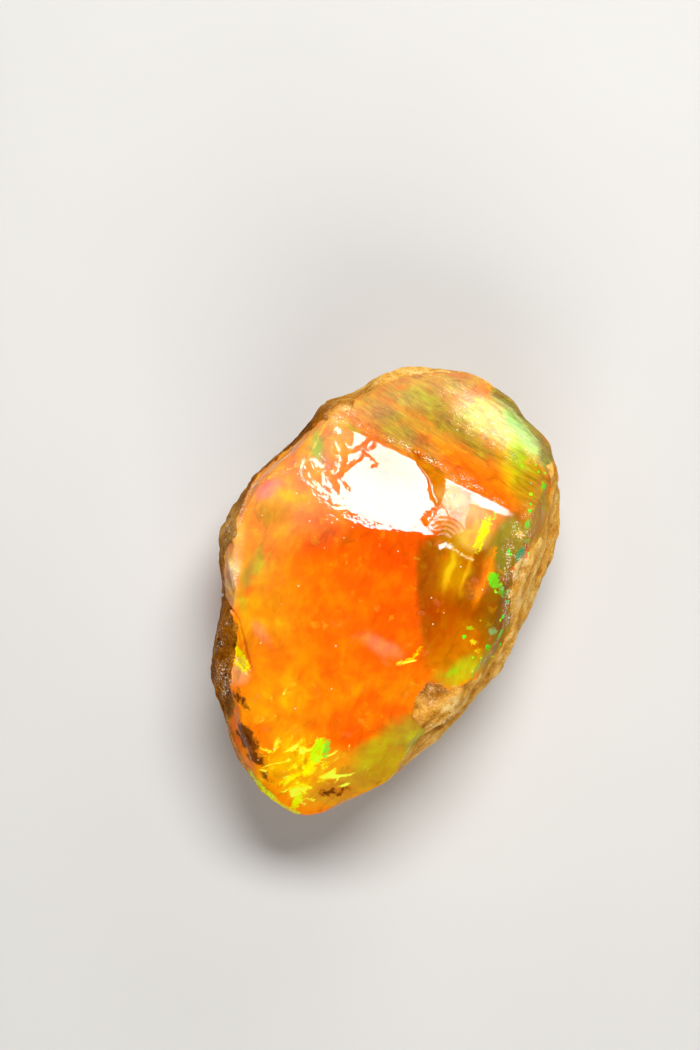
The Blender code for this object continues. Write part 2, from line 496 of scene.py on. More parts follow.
# Channels of the hackly break at the stone's brow, and the patches between them that mirror nothing.
CHANNELS = (
    Line(
        "trunk",
        ((-5.8, 18.6), (-5.35, 17.2), (-5.2, 16.0), (-5.4, 15.1), (-5.7, 14.2), (-6.5, 13.6)),
        0.36,
        -0.05,
    ),
    Line(
        "upper_branch", ((-5.2, 17.0), (-4.1, 17.2), (-3.1, 17.6), (-2.5, 18.3), (-1.4, 19.2)), 0.26, -0.04
    ),
    Line(
        "middle_branch", ((-2.6, 17.8), (-2.8, 16.9), (-3.2, 16.1), (-4.4, 15.5), (-4.9, 14.8)), 0.25, -0.04
    ),
    Line("right_branch", ((-1.4, 19.2), (-1.4, 17.8), (-2.3, 17.3)), 0.2, -0.03),
    Line("loop", ((-2.3, 16.6), (-1.1, 15.5), (-1.8, 15.1)), 0.18, -0.03),
    Line("scratch", ((-6.9, 13.6), (-5.9, 11.9)), 0.13, -0.02),
    Line("scratch_twin", ((-5.3, 13.3), (-4.4, 12.1)), 0.12, -0.02),
    Line("scratch_left", ((-8.2, 13.2), (-7.0, 12.2)), 0.10, -0.02),
    Line("ring_stroke", ((3.6, 7.9), (5.1, 9.2), (5.8, 10.4)), 0.13, -0.02),
    Line("ring_stroke_low", ((2.7, 7.6), (4.1, 8.3), (4.8, 8.9)), 0.12, -0.02),
    Line("ring_stroke_far", ((4.6, 8.0), (5.5, 8.8), (5.9, 9.7)), 0.12, -0.02),
)
POOLS = (
    Patch("corner", (-8.4, 18.4), (2.7, 1.9), 35),
    Patch("strokes", (-7.0, 16.4), (0.7, 1.5), 20),
    Patch("green_pool", (-4.8, 18.9), (0.8, 1.2), 20),
    Outline((
        (10.1, 10.9), (13.2, 9.65), (14.9, 9.1), (16.8, 8.9), (17.6, 7.4), (17.5, 3.0), (15.8, -6.0),
        (9.0, -11.5), (5.4, -8.0), (5.5, 0.0), (6.0, 4.4), (8.2, 4.4), (9.2, 6.2), (9.5, 8.6),
    )),
)
FINE_SHAPES = (
    SLIVER,
    LIP,
    CRACK,
    *CHANNELS,
    Rings("scoop_rings", (6.9, 6.3), 0.55, 1.0, 3.4, 75.0, 80.0, 0.011),
    Rings("brow_rings", (2.2, 17.2), 0.45, 0.5, 3.4, 250.0, 90.0, 0.0012),
    Bowl("sand_bump_foot", (-5.6, 21.6, 22.0), (1.5, 1.0, 2.0), 0.25),
    Bowl("lump_hollow", (5.3, -11.7, 24.4), (0.9, 1.1, 1.4), 0.45),
    Bowl("lump_dish", (7.4, -13.6, 23.0), (1.4, 1.6, 2.4), 0.20),
)
# Stretches of the side where the stone is a little slimmer than its solid.
SLIM_SIDES = (
    Bowl("top_left", (-5.3, 25.2, 17.0), (5.5, 3.2, 7.5), 0.9),
    Bowl("top_right", (13.0, 25.6, 16.5), (4.5, 3.2, 7.0), 0.6),
    Bowl("low_right", (13.6, -12.4, 16.5), (5.5, 5.0, 7.5), 0.7),
    Bowl("left", (-19.2, 11.4, 16.5), (3.4, 5.5, 7.5), 0.5),
)

# Colours of the body and of the crown, the lowest first, some of them painted light: veils of reflection, a
# sheen on the crown and glints at the left edge.
BODY = (
    Patch("sunlit_left", (-14.4, -0.9), (4.1, 9.6), 0, 0.6, (255, 148, 14), 0.75),
    Patch("ember_heart", (2.2, 0.3), (5.0, 7.5), 0, 0.5, (255, 96, 0)),
    Patch("ember_top", (-0.2, 5.4), (8.5, 2.4), -6, 0.6, (236, 76, 0), 0.85),
    Patch("ember_streak", (-5.6, 6.6), (5.2, 0.8), -24, 0.8, (222, 92, 0), 0.7),
    Patch("ember_low", (0.6, -6.9), (4.8, 4.3), 0, 0.6, (255, 92, 1), 0.75),
    Patch("cloud_low", (-8.5, -9.7), (6.5, 4.2), 15, 0.7, (255, 118, 2), 0.7),
    Patch("cloud_fold", (-6.8, -13.8), (6.0, 0.9), 32, 0.8, (255, 158, 8), 0.5),
    Patch("red_fold", (-3.8, -12.8), (4.6, 0.8), 30, 0.8, (255, 84, 0), 0.45),
    Patch("amber_low_right", (1.8, -11.6), (2.4, 2.0), 30, 0.8, (240, 138, 4), 0.6),
    Patch("amber_panel", (9.3, -0.7), (5.5, 8.0), 4, 0.12, (158, 78, 1), 0.96, 5),
    Patch("amber_low", (8.4, -7.0), (4.8, 3.0), 20, 0.6, (206, 108, 2), 0.85),
    Patch("rust_pocket", (6.4, -3.5), (2.9, 3.1), 0, 0.6, (184, 74, 0), 0.6),
    Patch("olive_scoop", (8.7, 3.3), (2.2, 3.4), -12, 0.35, (196, 124, 2), 0.85),
    Patch("scoop_streak", (7.6, 2.7), (0.35, 2.5), -14, 0.7, (240, 184, 20), 0.7),
    Patch("scoop_streak_far", (9.7, 2.4), (0.3, 2.3), -16, 0.7, (236, 168, 18), 0.6),
    Patch("ring_amber", (7.9, 7.4), (1.7, 2.0), -20, 0.5, (196, 124, 6), 0.8),
    Patch("scoop_shade", (6.1, 3.6), (0.7, 2.6), -8, 0.7, (176, 96, 8), 0.6),
    Patch("crown_ochre", (4.7, 19.9), (9.5, 4.1), -28, 0.45, (180, 136, 54), 0.95, 2.5),
    Patch("crown_crest", (5.0, 26.4), (11.0, 1.9), 2, 0.5, (204, 142, 70), 0.95),
    Patch("crown_top", (1.7, 23.2), (8.1, 1.6), 14, 0.6, (196, 150, 76), 0.85),
    Patch("crown_olive", (7.3, 22.6), (4.4, 1.3), -24, 0.6, (168, 150, 48), 0.65),
    Patch("crown_olive_low", (9.2, 18.4), (5.6, 1.0), -31, 0.7, (152, 122, 8), 0.7),
    Patch("crown_streak", (4.1, 20.9), (5.9, 0.6), -30, 0.8, (226, 132, 48), 0.6),
    Patch("crown_streak_low", (8.4, 16.6), (5.4, 0.7), -33, 0.8, (246, 120, 10), 0.6),
    Patch("crown_ember", (11.3, 14.3), (6.5, 1.8), -30, 0.6, (244, 104, 1), 0.95),
    Patch("crown_gold", (16.7, 15.7), (2.6, 4.9), 20, 0.6, (196, 174, 10), 0.85),
    Patch("crown_sheen", (12.8, 21.2), (4.8, 2.0), -40, 0.6, (250, 226, 140), 0.85),
    Patch("crown_green", (17.0, 19.6), (4.4, 1.3), -52, 0.6, (176, 224, 128), 0.85),
    Patch("crown_green_low", (16.4, 16.2), (0.9, 2.4), 20, 0.6, (150, 190, 30), 0.6),
    Patch("crown_deep", (17.6, 12.4), (2.4, 2.2), -40, 0.6, (176, 130, 10), 0.8),
    Line(
        "crown_rim", ((13.8, 24.8), (17.2, 21.6), (19.7, 18.1), (20.6, 15.0)), 1.15, 0.0, (128, 118, 52), 0.9
    ),
    # A pale line along the crown's rim is a painted sheen.
    Line("crown_rim_sheen_line", ((12.8, 24.6), (16.4, 21.6), (18.6, 18.4)), 0.16, 0.0, (236, 236, 160), 0.3),
    Line(
        "sliver_floor", ((3.6, 16.6), (5.4, 15.0), (6.3, 13.4), (6.3, 10.9)), 0.9, 0.0, (204, 116, 0), 0.95
    ),
    Line(
        "foot_rim",
        ((-20.9, -13.5), (-19.9, -17.0), (-18.1, -21.5), (-15.0, -25.6)),
        1.0,
        0.0,
        (150, 84, 4),
        0.9,
    ),
    Patch("left_lobe", (-19.6, 2.0), (1.3, 3.0), 0, 0.5, (228, 160, 74), 0.8),
    # Pale peach veils over the upper left are a painted veil of reflection.
    Patch("reflection_veil_upper_left", (-11.4, 12.8), (6.0, 5.0), 0, 0.8, (242, 156, 84), 0.8),
    Patch("reflection_veil_left", (-15.4, 6.5), (2.6, 5.0), 0, 0.8, (248, 158, 58), 0.6),
    Patch("haze_brow", (-6.6, 19.4), (4.6, 3.0), 35, 0.6, (226, 156, 76), 0.85),
    Patch("upper_left_green", (-8.2, 17.6), (0.8, 2.0), 8, 0.5, (150, 166, 76), 0.85),
    Patch("pink_brow", (-7.4, 15.9), (0.8, 1.3), 0, 0.7, (232, 128, 96), 0.6),
    Patch("green_brow", (-3.9, 19.6), (0.3, 1.2), 40, 0.6, (170, 160, 40), 0.7),
    Patch("strip_amber", (-12.6, 16.4), (4.6, 0.9), 44, 0.6, (240, 138, 26), 0.8),
    # A white lobe and a pale corner at the left edge are painted glints of the wet edge.
    Patch("left_glint_lobe", (-18.8, 2.4), (0.8, 1.7), -14, 0.6, (252, 226, 186), 0.9),
    Patch("left_corner_glint", (-18.3, -9.9), (1.3, 1.2), 0, 0.5, (255, 196, 120), 0.5),
    # A pale peach band at the left edge is a painted veil of reflection.
    Patch("reflection_veil_left_edge", (-18.5, 3.6), (0.9, 5.4), -6, 0.7, (255, 184, 104), 0.65),
    Patch("pink_high", (-14.3, 12.5), (1.2, 0.7), 40, 0.8, (238, 112, 146), 0.8),
    Patch("yellow_wisp", (-12.1, 11.9), (2.7, 0.7), -12, 0.7, (240, 180, 30), 0.6),
    Patch("olive_wisp", (-13.6, 9.4), (2.0, 1.6), 20, 0.8, (204, 130, 30), 0.7),
    Patch("olive_wisp_low", (-16.5, 2.2), (0.9, 2.2), -10, 0.7, (176, 122, 50), 0.85),
    Patch("green_wisp", (-15.4, 4.0), (0.7, 1.7), 0, 0.6, (196, 176, 50), 0.7),
    Patch("green_wisp_low", (-17.6, -1.2), (0.7, 1.5), 10, 0.7, (196, 160, 30), 0.7),
    Patch("red_wisp", (-16.4, 0.0), (1.4, 0.6), 20, 0.7, (240, 90, 20), 0.6),
    Patch("pink_low", (-15.0, -4.8), (0.6, 1.4), 30, 0.8, (255, 120, 120), 0.35),
    Patch("amber_left_low", (-13.9, -13.0), (4.6, 3.6), 20, 0.6, (255, 158, 8), 0.7),
    Patch("gold_bottom", (-10.6, -22.0), (5.6, 4.1), -20, 0.6, (255, 182, 4), 0.85),
    Patch("gold_foot", (-6.0, -21.6), (4.0, 2.0), 16, 0.7, (238, 150, 20), 0.7),
    Patch("ochre_foot", (-5.2, -24.2), (4.8, 2.0), 18, 0.5, (208, 146, 28), 0.9),
    Patch("ochre_bevel", (-1.4, -21.9), (3.4, 2.0), 30, 0.6, (198, 156, 30), 0.9),
    Patch("olive_bevel", (1.2, -19.1), (5.2, 3.0), 36, 0.32, (194, 148, 20), 0.95, 3),
    Patch("lime_bevel", (3.5, -17.3), (2.9, 1.9), 40, 0.6, (186, 160, 34), 0.85),
    Patch("lime_band", (9.4, -9.4), (3.9, 1.5), 26, 0.5, (186, 172, 18), 0.85),
    Patch("moss_edge", (14.9, 5.9), (2.3, 4.2), -14, 0.4, (130, 122, 34), 0.9, 2.5),
    Patch("umber_edge", (14.0, -2.2), (2.0, 5.6), -14, 0.5, (138, 90, 6), 0.85),
    Patch("layered_edge", (18.6, 8.6), (1.4, 5.2), -4, 0.5, (176, 128, 34), 0.95),
    Patch("layered_edge_low", (14.6, -5.2), (1.0, 5.6), -26, 0.5, (166, 116, 24), 0.9),
    Patch("orange_beam", (11.9, 1.8), (0.6, 3.6), -17, 0.6, (232, 124, 2), 0.8),
    Patch("dark_fold", (10.8, 3.4), (0.6, 4.4), -14, 0.7, (150, 82, 0), 0.7),
    Patch("amber_wall", (10.4, 7.4), (2.1, 1.9), -20, 0.5, (236, 172, 76), 0.85),
    Patch("wedge_amber", (9.6, 10.4), (3.2, 1.5), -30, 0.5, (238, 186, 116), 0.8),
    Patch("pale_streak", (-0.5, -6.5), (2.3, 0.8), -25, 0.6, (255, 140, 82), 0.75),
)
# Crisp flashes of the opal's fire, and fine lines of colour, among them a painted glint on the scoop's lip and
# a painted glow along the foot's thin edge.
FLASHES = (
    Patch("yellow_flame", (11.5, 7.0), (2.4, 0.62), 67, 0, (226, 232, 0), 1, 3),
    Patch("flame_tip", (13.0, 9.3), (0.5, 0.25), 60, 0, (110, 215, 40)),
    Patch("green_fleck", (12.9, 1.5), (1.2, 0.7), 115, 0, (70, 225, 20), 1, 2.5),
    Patch("green_fleck_low", (13.9, 0.1), (0.9, 0.35), 100, 0, (90, 190, 20)),
    Patch("ridge_end_green", (17.2, 8.2), (0.6, 0.3), 70, 0, (40, 218, 60)),
    Patch("edge_green", (17.1, 6.2), (0.4, 0.3), 0, 0, (40, 205, 60)),
    Patch("teal_patch", (16.3, 4.6), (1.1, 0.6), 60, 0, (52, 150, 90), 0.8),
    Patch("rim_green", (19.3, 12.9), (0.5, 0.4), 60, 0, (60, 215, 40)),
    Patch("low_green", (13.9, -5.2), (0.8, 0.3), 60, 0, (60, 222, 20)),
    Patch("low_green_twin", (12.3, -6.8), (0.4, 0.3), 70, 0, (60, 222, 20)),
    Patch("outer_green", (18.4, 0.3), (0.5, 0.25), 60, 0, (40, 200, 80)),
    Patch("mint_spot", (12.8, -4.7), (0.5, 0.5), 0, 0, (136, 176, 100), 0.8),
    Patch("yellow_fleck", (10.4, -6.0), (0.5, 0.4), -30, 0, (226, 212, 20)),
    Patch("yellow_fleck_low", (10.9, -7.0), (0.5, 0.2), 20, 0, (226, 216, 20)),
    Patch("lime_fleck", (10.1, -4.2), (0.4, 0.3), 0, 0, (166, 204, 20)),
    Patch("lime_core", (7.9, -9.6), (1.0, 0.4), 24, 0, (146, 200, 16), 0.9),
    Patch("fire_green", (-8.3, -19.3), (1.8, 0.9), 70, 0, (196, 250, 8), 1, 2.5),
    Patch("fire_core", (-7.3, -19.1), (1.3, 0.4), 82, 0, (70, 236, 60)),
    Patch("flame_long", (-11.5, -22.8), (2.0, 0.35), 28, 0, (255, 240, 0), 0.9),
    Patch("flame_mid", (-9.5, -21.4), (1.6, 0.5), 50, 0, (255, 246, 0), 0.9),
    Patch("flame_tail", (-11.1, -26.2), (1.7, 0.5), 62, 0, (228, 240, 0), 0.9),
    Patch("flame_chip", (-14.0, -21.6), (0.5, 0.3), 70, 0, (255, 226, 20)),
    Patch("flame_high", (-10.3, -18.2), (1.0, 0.3), 20, 0, (255, 214, 20), 0.8),
    Patch("ochre_dash", (3.5, 4.2), (0.9, 0.25), -30, 0, (196, 136, 20), 0.7),
    Patch("glint", (3.7, -7.2), (1.0, 0.25), 62, 0, (255, 228, 0)),
    Patch("glint_low", (1.9, -8.4), (0.8, 0.25), 18, 0, (255, 214, 40)),
    Patch("orange_fleck", (15.5, 2.9), (0.5, 0.3), 40, 0, (246, 92, 12)),
    Patch("sand_fleck", (16.2, 7.0), (0.6, 0.4), -60, 0, (240, 182, 92)),
    Patch("yellow_facet", (-17.8, -8.1), (1.9, 0.85), -60, 0, (255, 228, 0), 1, 2.0),
    Patch("amber_facet", (-18.7, -4.9), (2.0, 0.5), -76, 0, (240, 184, 8), 1, 2.5),
)
VEINS_AND_PAINTED_LIGHT = (
    Line(
        "edge_line",
        ((-16.5, 12.9), (-13.3, 14.3), (-9.6, 15.8), (-8.4, 18.4), (-7.1, 20.8)),
        0.12,
        0.0,
        (255, 190, 80),
    ),
    Line("orange_line", ((13.3, 5.7), (12.4, 2.7), (11.0, -0.9)), 0.2, 0.0, (250, 140, 8)),
    # A near-white arc and its tapering tail on the scoop's lip are a painted glint.
    Line("lip_glint_arc", ((6.4, 5.45), (7.0, 5.75), (7.8, 5.5)), 0.26, 0.0, (255, 250, 232)),
    Line("lip_glint_tail", ((7.8, 5.5), (8.7, 4.8), (9.5, 4.3), (10.4, 3.9)), 0.16, 0.0, (238, 196, 120)),
    Line("rusty_line", ((17.2, 5.4), (15.9, 3.4), (15.0, 2.6)), 0.16, 0.0, (226, 84, 12)),
    Line("glint_line", ((2.4, -8.2), (3.3, -7.8), (4.1, -6.5)), 0.16, 0.0, (255, 226, 0)),
    # A bright lime line along the thin foot edge is a painted glow of light through that edge.
    Line(
        "lime_rim_glow",
        ((-16.8, -22.4), (-15.0, -24.7), (-13.0, -26.6), (-10.8, -27.7)),
        0.34,
        0.0,
        (206, 222, 40),
    ),
    Line(
        "gold_rim",
        ((-20.0, -15.5), (-17.7, -21.5), (-14.6, -25.2), (-12.2, -27.4)),
        0.14,
        0.0,
        (240, 150, 10),
    ),
)
# Brown iron stains, with their own colour and that of their rims.
STAIN_COLOUR: Colour = (92, 42, 4)
STAIN_EDGE: Colour = (186, 104, 14)
STAINS = (
    Patch("high_spot", (-17.5, -13.1), (1.4, 0.55), -60, 0, STAIN_COLOUR),
    Patch("high_spot_foot", (-18.4, -12.3), (0.7, 0.5), 0, 0, STAIN_COLOUR),
    Patch("long_spot", (-17.0, -17.6), (2.2, 1.05), -66, 0, STAIN_COLOUR),
    Patch("long_spot_foot", (-15.9, -20.3), (1.5, 0.7), -62, 0, STAIN_COLOUR),
    Patch("low_spot", (-14.7, -22.9), (0.8, 0.4), -60, 0, STAIN_COLOUR),
    Patch("bottom_spot", (-6.4, -24.6), (1.9, 0.45), 10, 0, STAIN_COLOUR),
)
# Where the breaks are satin, where they mirror little, and where white grains and painted glints show on them.
SATIN = (
    Patch("grainy_edge", (15.4, 4.6), (1.6, 4.2), -8, 0.4, strength=0.8),
    Patch("wedge_foot", (10.3, 8.3), (2.8, 1.9), -20, 0.3, strength=0.4),
    Patch("scoop_side", (11.8, 1.8), (2.4, 4.0), 0, 0.4, strength=0.9),
)
DULL = (
    Patch("wedge_start", (8.3, 11.0), (2.8, 1.8), -32, 0.35, strength=0.66),
    Patch("ring_shade", (7.4, 7.6), (2.0, 1.6), -10, 0.4, strength=0.86),
    Patch("brow_top", (-0.8, 16.6), (5.0, 2.4), -24, 0.8, strength=0.2),
    Patch("brow_left", (-7.4, 14.0), (2.6, 2.0), -40, 0.8, strength=0.2),
    Patch("wedge_end", (16.4, 9.2), (2.4, 1.4), -30, 0.6, strength=0.5),
    Patch("right_edge", (15.6, 3.0), (1.8, 8.6), -10, 0.4, strength=0.8),
)
# White specks: partly real pale grains, partly painted glints where wet chips and grains would catch the
# light.
FROST_AND_GLINTS = (
    Patch("right_edge", (15.9, 5.0), (1.5, 4.4), -14, 0.6),
    Patch("right_edge_low", (15.0, -1.6), (0.7, 2.8), -4, 0.6),
    Patch("crown_sheen", (12.2, 20.9), (5.6, 2.2), -40, 0.7),
    Patch("crown_edge", (17.6, 18.0), (1.0, 3.0), 30, 0.7, strength=0.35),
    Patch("brow_corner", (-5.6, 21.6), (1.6, 1.2), 20, 0.5),
    Patch("left_edge", (-18.9, 2.0), (0.9, 2.2), -8, 0.6),
    Patch("left_corner", (-18.4, -9.0), (1.2, 1.1), -8, 0.6),
    Patch("left_rind", (-20.1, -10.8), (1.0, 2.0), 10, 0.6),
    Patch("left_rind_line", (-20.1, -5.0), (0.6, 2.2), -20, 0.6),
    Patch("upper_left_rind", (-19.3, 7.4), (0.6, 1.7), -12, 0.6, strength=0.8),
    Patch("lump", (5.6, -12.2), (1.2, 1.2), 30, 0.5, strength=0.6),
    Patch("wedge", (8.6, 11.9), (1.6, 2.4), -12, 0.6, strength=0.7),
    Line("ridge_chips", ((-3.2, 20.2), (3.2, 17.3), (7.2, 14.9), (14.0, 10.6)), 0.4),
    Line("left_line", ((-16.4, 12.9), (-17.6, 9.4), (-18.4, 6.4)), 0.35, strength=0.8),
    Line("strip_line", ((-16.5, 12.9), (-13.3, 14.3), (-9.6, 15.8)), 0.3, strength=0.6),
    Line("lump_line", ((8.6, -12.5), (8.85, -13.5), (8.7, -14.5)), 0.22),
    Line("lump_foot", ((5.4, -16.0), (6.4, -16.4), (9.2, -14.8)), 0.3, strength=0.9),
)
# Where the rind is paler, above zero, or darker than its own sandy tan; the lump's pale oval is a painted
# highlight.
SHADES = (
    # The lump's pale oval is a painted highlight.
    Patch("lump_painted_highlight", (7.7, -14.0), (1.1, 1.3), 0, 0.3, strength=0.6),
    Patch("lump_body", (5.6, -13.8), (2.8, 3.2), 0, 0.5, strength=-0.1),
    Patch("lump_pores", (5.4, -11.9), (1.3, 0.9), -20, 0.5, strength=-0.7),
    Patch("lump_pit", (7.9, -13.5), (0.22, 0.16), 30, 0.6, strength=-1.6),
    Patch("lump_pit_low", (7.6, -14.7), (0.18, 0.14), 0, 0.6, strength=-1.4),
    Patch("right_rim", (17.6, 2.4), (2.2, 6.6), -20, 0.6, strength=0.25),
    Patch("low_rim", (12.4, -9.6), (1.6, 4.0), -40, 0.6, strength=0.1),
    Patch("top_rim", (3.0, 26.8), (9.0, 1.6), 8, 0.6, strength=0.2),
    Patch("brow_corner", (-5.8, 21.9), (1.4, 0.8), 20, 0.4, strength=1.6),
    Patch("upper_left_rim", (-11.0, 19.6), (8.0, 1.4), 42, 0.6, strength=-0.35),
)
# Where small sparks show, where the breaks are rippled and where yellow flames rise.
SPARKS = (
    Patch("right_edge", (15.4, 2.0), (2.6, 9.0), -8, 0.5),
    Patch("lime_band", (10.6, -7.0), (4.4, 4.0), 30, 0.5),
    Patch("crown_end", (18.0, 12.8), (2.4, 5.0), 5, 0.5, strength=0.95),
)
RIPPLES = (
    Patch("brow_left", (-7.0, 15.6), (1.6, 2.4), 30, 0.6, strength=0.8),
    Patch("brow_end", (5.9, 9.0), (1.4, 1.5), 30, 0.5, strength=0.5),
    Patch("left_edge", (-18.8, 3.0), (1.1, 4.2), -6, 0.5, strength=0.8),
    Patch("left_sparkle", (-18.4, -9.6), (1.4, 2.0), 0, 0.5, strength=0.8),
)
FLAMES = (
    Patch("bottom", (-10.4, -21.8), (6.8, 5.0), -24, 0.45, strength=0.9),
    Patch("diagonal", (-10.2, -22.0), (4.4, 2.0), 66, 0.5, strength=1.15),
    Patch("bottom_right", (-4.0, -21.0), (3.4, 2.6), 20, 0.6, strength=0.7),
    Patch("low_right", (2.6, -8.4), (3.2, 1.4), 25, 0.6, strength=0.6),
    Patch("low_left", (-14.0, -13.6), (3.4, 4.6), 0, 0.6, strength=0.55),
)
# Parts of the surface whose shapes need the finest faces: first once, then once more.
FINE_ZONES = (
    (
        Patch("brow", (-2.5, 14.5), (9.2, 5.2), 24, square=4),
        Patch("ridge", (9.6, 13.0), (7.4, 1.3), -29, square=4),
        Patch("scoop", (7.8, 6.2), (3.6, 4.8), square=4),
        Patch("left_edge", (-18.2, -5.0), (1.6, 6.5), square=4),
    ),
    (
        Patch("rings", (7.2, 7.6), (2.9, 2.4), square=4),
        Patch("lip", (8.2, 4.8), (2.6, 1.2), -25, square=4),
        Patch("sliver_foot", (5.3, 13.4), (2.4, 3.8), 20, square=4),
        Patch("crack", (-18.0, -5.0), (1.1, 5.2), 14, square=4),
    ),
)
# Where the rind is rusty.
RUSTY = (
    Patch("left_rind", (-20.5, -6.0), (4.0, 13.0), 0, 0.5),
    Patch("upper_left_rind", (-14.0, 16.5), (12.0, 3.0), 40, 0.5),
)


@dataclass
class OpalSkin:
    """The stone's surface: the solid's own faces, divided fine, then chipped, rippled and weathered.

    Angles are in degrees, sizes and heights in millimetres. A pair is where something starts and where it is
    full, and a stray is how far smooth and jagged noise move the marks.
    """

    node: str = "opal"
    slot: str = "opal_body"
    name: str = "opal_skin"
    weld_gap: float = 0.001
    flat_angle: float = 13.0
    flat_shape_angle: float = 60.0
    arris_angle: float = 15.0
    soft_arris_angle: float = 30.0
    soft_crease: float = 0.6
    levels: int = 2
    recut_limit: float = 0.35
    recut_edge: Pair = (-0.3, -1.4)
    satin_facet: str = "crown_slope"
    crown_dullness: float = 0.85
    gloss_slope: Pair = (0.88, 0.95)
    base_height: float = 0.05
    swell: Lumps = Lumps(0.010, 5.0)
    ripple: Lumps = Lumps(0.012, 0.9)
    flakes: tuple[Shards, ...] = (Shards(2.4, 0.15), Shards(0.9, 0.05, 9.0))
    step_height: float = 0.10
    step_front: Pair = (-0.12, 0.12)
    step_back: Pair = (3.0, 0.5)
    rind_edge: Pair = (-0.1, 0.5)
    lumps: Lumps = Lumps(0.22, 2.2, 2)
    grains: Lumps = Lumps(0.10, 0.8, 2)
    layer_size: Triple = (4.0, 4.0, 1.2)
    ledge_top: float = 0.08
    ledge_drop: float = 0.20
    pits: Lumps = Lumps(1.0, 1.5, shift=31.0)
    pit_start: float = 0.26
    pit_depth: float = 0.7
    tint_stray: float = 0.55
    flash_stray: Pair = (0.14, 0.15)
    vein_and_light_stray: Pair = (0.12, 0.04)
    stain_stray: Pair = (0.25, 0.7)

    def copied_solid(self) -> bmesh.types.BMesh:
        """The solid's surface in one piece, with its flat triangles joined and its arrises marked.

        Returns:
            The surface, in metres.
        """
        bm = bmesh.new()
        bm.from_mesh(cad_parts[self.node].data)
        bmesh.ops.remove_doubles(bm, verts=bm.verts[:], dist=self.weld_gap * MM)
        for layers in (bm.loops.layers, bm.faces.layers, bm.verts.layers):
            for kind in (layers.float_color, layers.color, layers.float_vector):
                for spare in list(kind.values()):
                    kind.remove(spare)
        bmesh.ops.join_triangles(
            bm,
            faces=bm.faces[:],
            angle_face_threshold=math.radians(self.flat_angle),
            angle_shape_threshold=math.radians(self.flat_shape_angle),
            cmp_seam=False,
            cmp_sharp=False,
            cmp_uvs=False,
            cmp_vcols=False,
            cmp_materials=False,
        )
        self.mark_arrises(bm)
        return bm

    def mark_arrises(self, bm: bmesh.types.BMesh) -> None:
        """Creases each edge by how sharply its two faces meet, less so in the rind.

        Args:
            bm: the surface.
        """
        creases = bm.edges.layers.float.get("crease_edge") or bm.edges.layers.float.new("crease_edge")
        middles = np.array([(edge.verts[0].co + edge.verts[1].co) / 2 for edge in bm.edges]) / MM
        weathered = rind_outside(middles) > 0
        for edge, rough in zip(bm.edges, weathered):
            if len(edge.link_faces) != 2:
                continue
            angle = math.degrees(edge.calc_face_angle(0.0))
            half = (self.soft_arris_angle if rough else self.arris_angle) / 2
            edge[creases] = min(1.0, max(0.0, (angle - half) / half)) * (self.soft_crease if rough else 1.0)

    def divided(self, bm: bmesh.types.BMesh) -> Mesh:
        """The surface after it is divided and rounded between its arrises.

        Args:
            bm: the surface with its arrises marked.

        Returns:
            A mesh of small faces.
        """
        coarse = bpy.data.meshes.new(self.name + "_coarse")
        bm.to_mesh(coarse)
        bm.free()
        holder = bpy.data.objects.new(self.name + "_coarse", coarse)
        bpy.context.scene.collection.objects.link(holder)
        fine = holder.modifiers.new("divide", "SUBSURF")
        fine.levels = self.levels
        fine.render_levels = self.levels
        bpy.context.view_layer.update()
        shown = holder.evaluated_get(bpy.context.evaluated_depsgraph_get())
        mesh = bpy.data.meshes.new_from_object(shown)
        bpy.data.objects.remove(holder)
        bpy.data.meshes.remove(coarse)
        for zones in FINE_ZONES:
            self.refine(mesh, zones)
        return mesh

    def refine(self, mesh: Mesh, zones: Sequence[Patch]) -> None:
        """Divides the faces of some parts of the upper side once more.

        Args:
            mesh: the surface.
            zones: where to divide it.
        """
        bm = bmesh.new()
        bm.from_mesh(mesh)
        middles = np.array([face.calc_center_median() for face in bm.faces]) / MM
        inside = (most(zones, middles) > COVERED) & (middles[:, 2] > GIRDLE)
        edges = {edge for face, fine in zip(bm.faces, inside) if fine for edge in face.edges}
        ordered = sorted(edges, key=lambda edge: edge.index)
        bmesh.ops.subdivide_edges(bm, edges=ordered, cuts=1, use_grid_fill=True)
        bm.to_mesh(mesh)
        bm.free()

    def build(self) -> Object:
        """Makes the skin and everything that its finish reads.

        Returns:
            The finished object.
        """
        mesh = self.divided(self.copied_solid())
        mesh.name = self.name
        points, crown = self.recut(positions(mesh))
        points = self.slimmed(points)
        place_points(mesh, points)
        normals = point_normals(mesh)
        heights = self.relief(points)
        points = self.seated(points + normals * heights[:, None])
        place_points(mesh, points)
        self.record_marks(mesh, points)
        self.record_zones(mesh, points, crown)
        write_value(mesh, Layer.GLOSS, smooth_step(normals[:, 2], *self.gloss_slope))
        mesh.shade_smooth()
        stone = bpy.data.objects.new(self.name, mesh)
        bpy.context.scene.collection.objects.link(stone)
        return stone

    def recut(self, points: np.ndarray) -> tuple[np.ndarray, np.ndarray]:
        """The glassy side's points, moved on to its fracture faces so that the arrises come out crisp.

        Args:
            points: places on the surface.

        Returns:
            The moved places, and 1 for those on the crown's face.
        """
        heart = np.array(HEART)
        away = points - heart
        distance = np.linalg.norm(away, axis=1)
        rays = away / distance[:, None]
        reaches = np.stack([facet.reach(rays) for facet in FACETS])
        chosen = reaches.argmin(axis=0)
        cut = np.clip(reaches.min(axis=0), distance - self.recut_limit, distance + self.recut_limit)
        share = smooth_step(GLASS.outside(points), *self.recut_edge) * upper(points)
        moved = heart + rays * (distance + share * (cut - distance))[:, None]
        crown = np.array([facet.name == self.satin_facet for facet in FACETS])[chosen]
        return moved, crown.astype(float)

    def slimmed(self, points: np.ndarray) -> np.ndarray:
        """The points, drawn in towards the heart along the slimmer stretches of the side."""
        outwards = (points - np.array(HEART)) * np.array((1.0, 1.0, 0.0))
        outwards /= np.linalg.norm(outwards, axis=1)[:, None]
        return points + outwards * sum(side.rise(points) for side in SLIM_SIDES)[:, None]

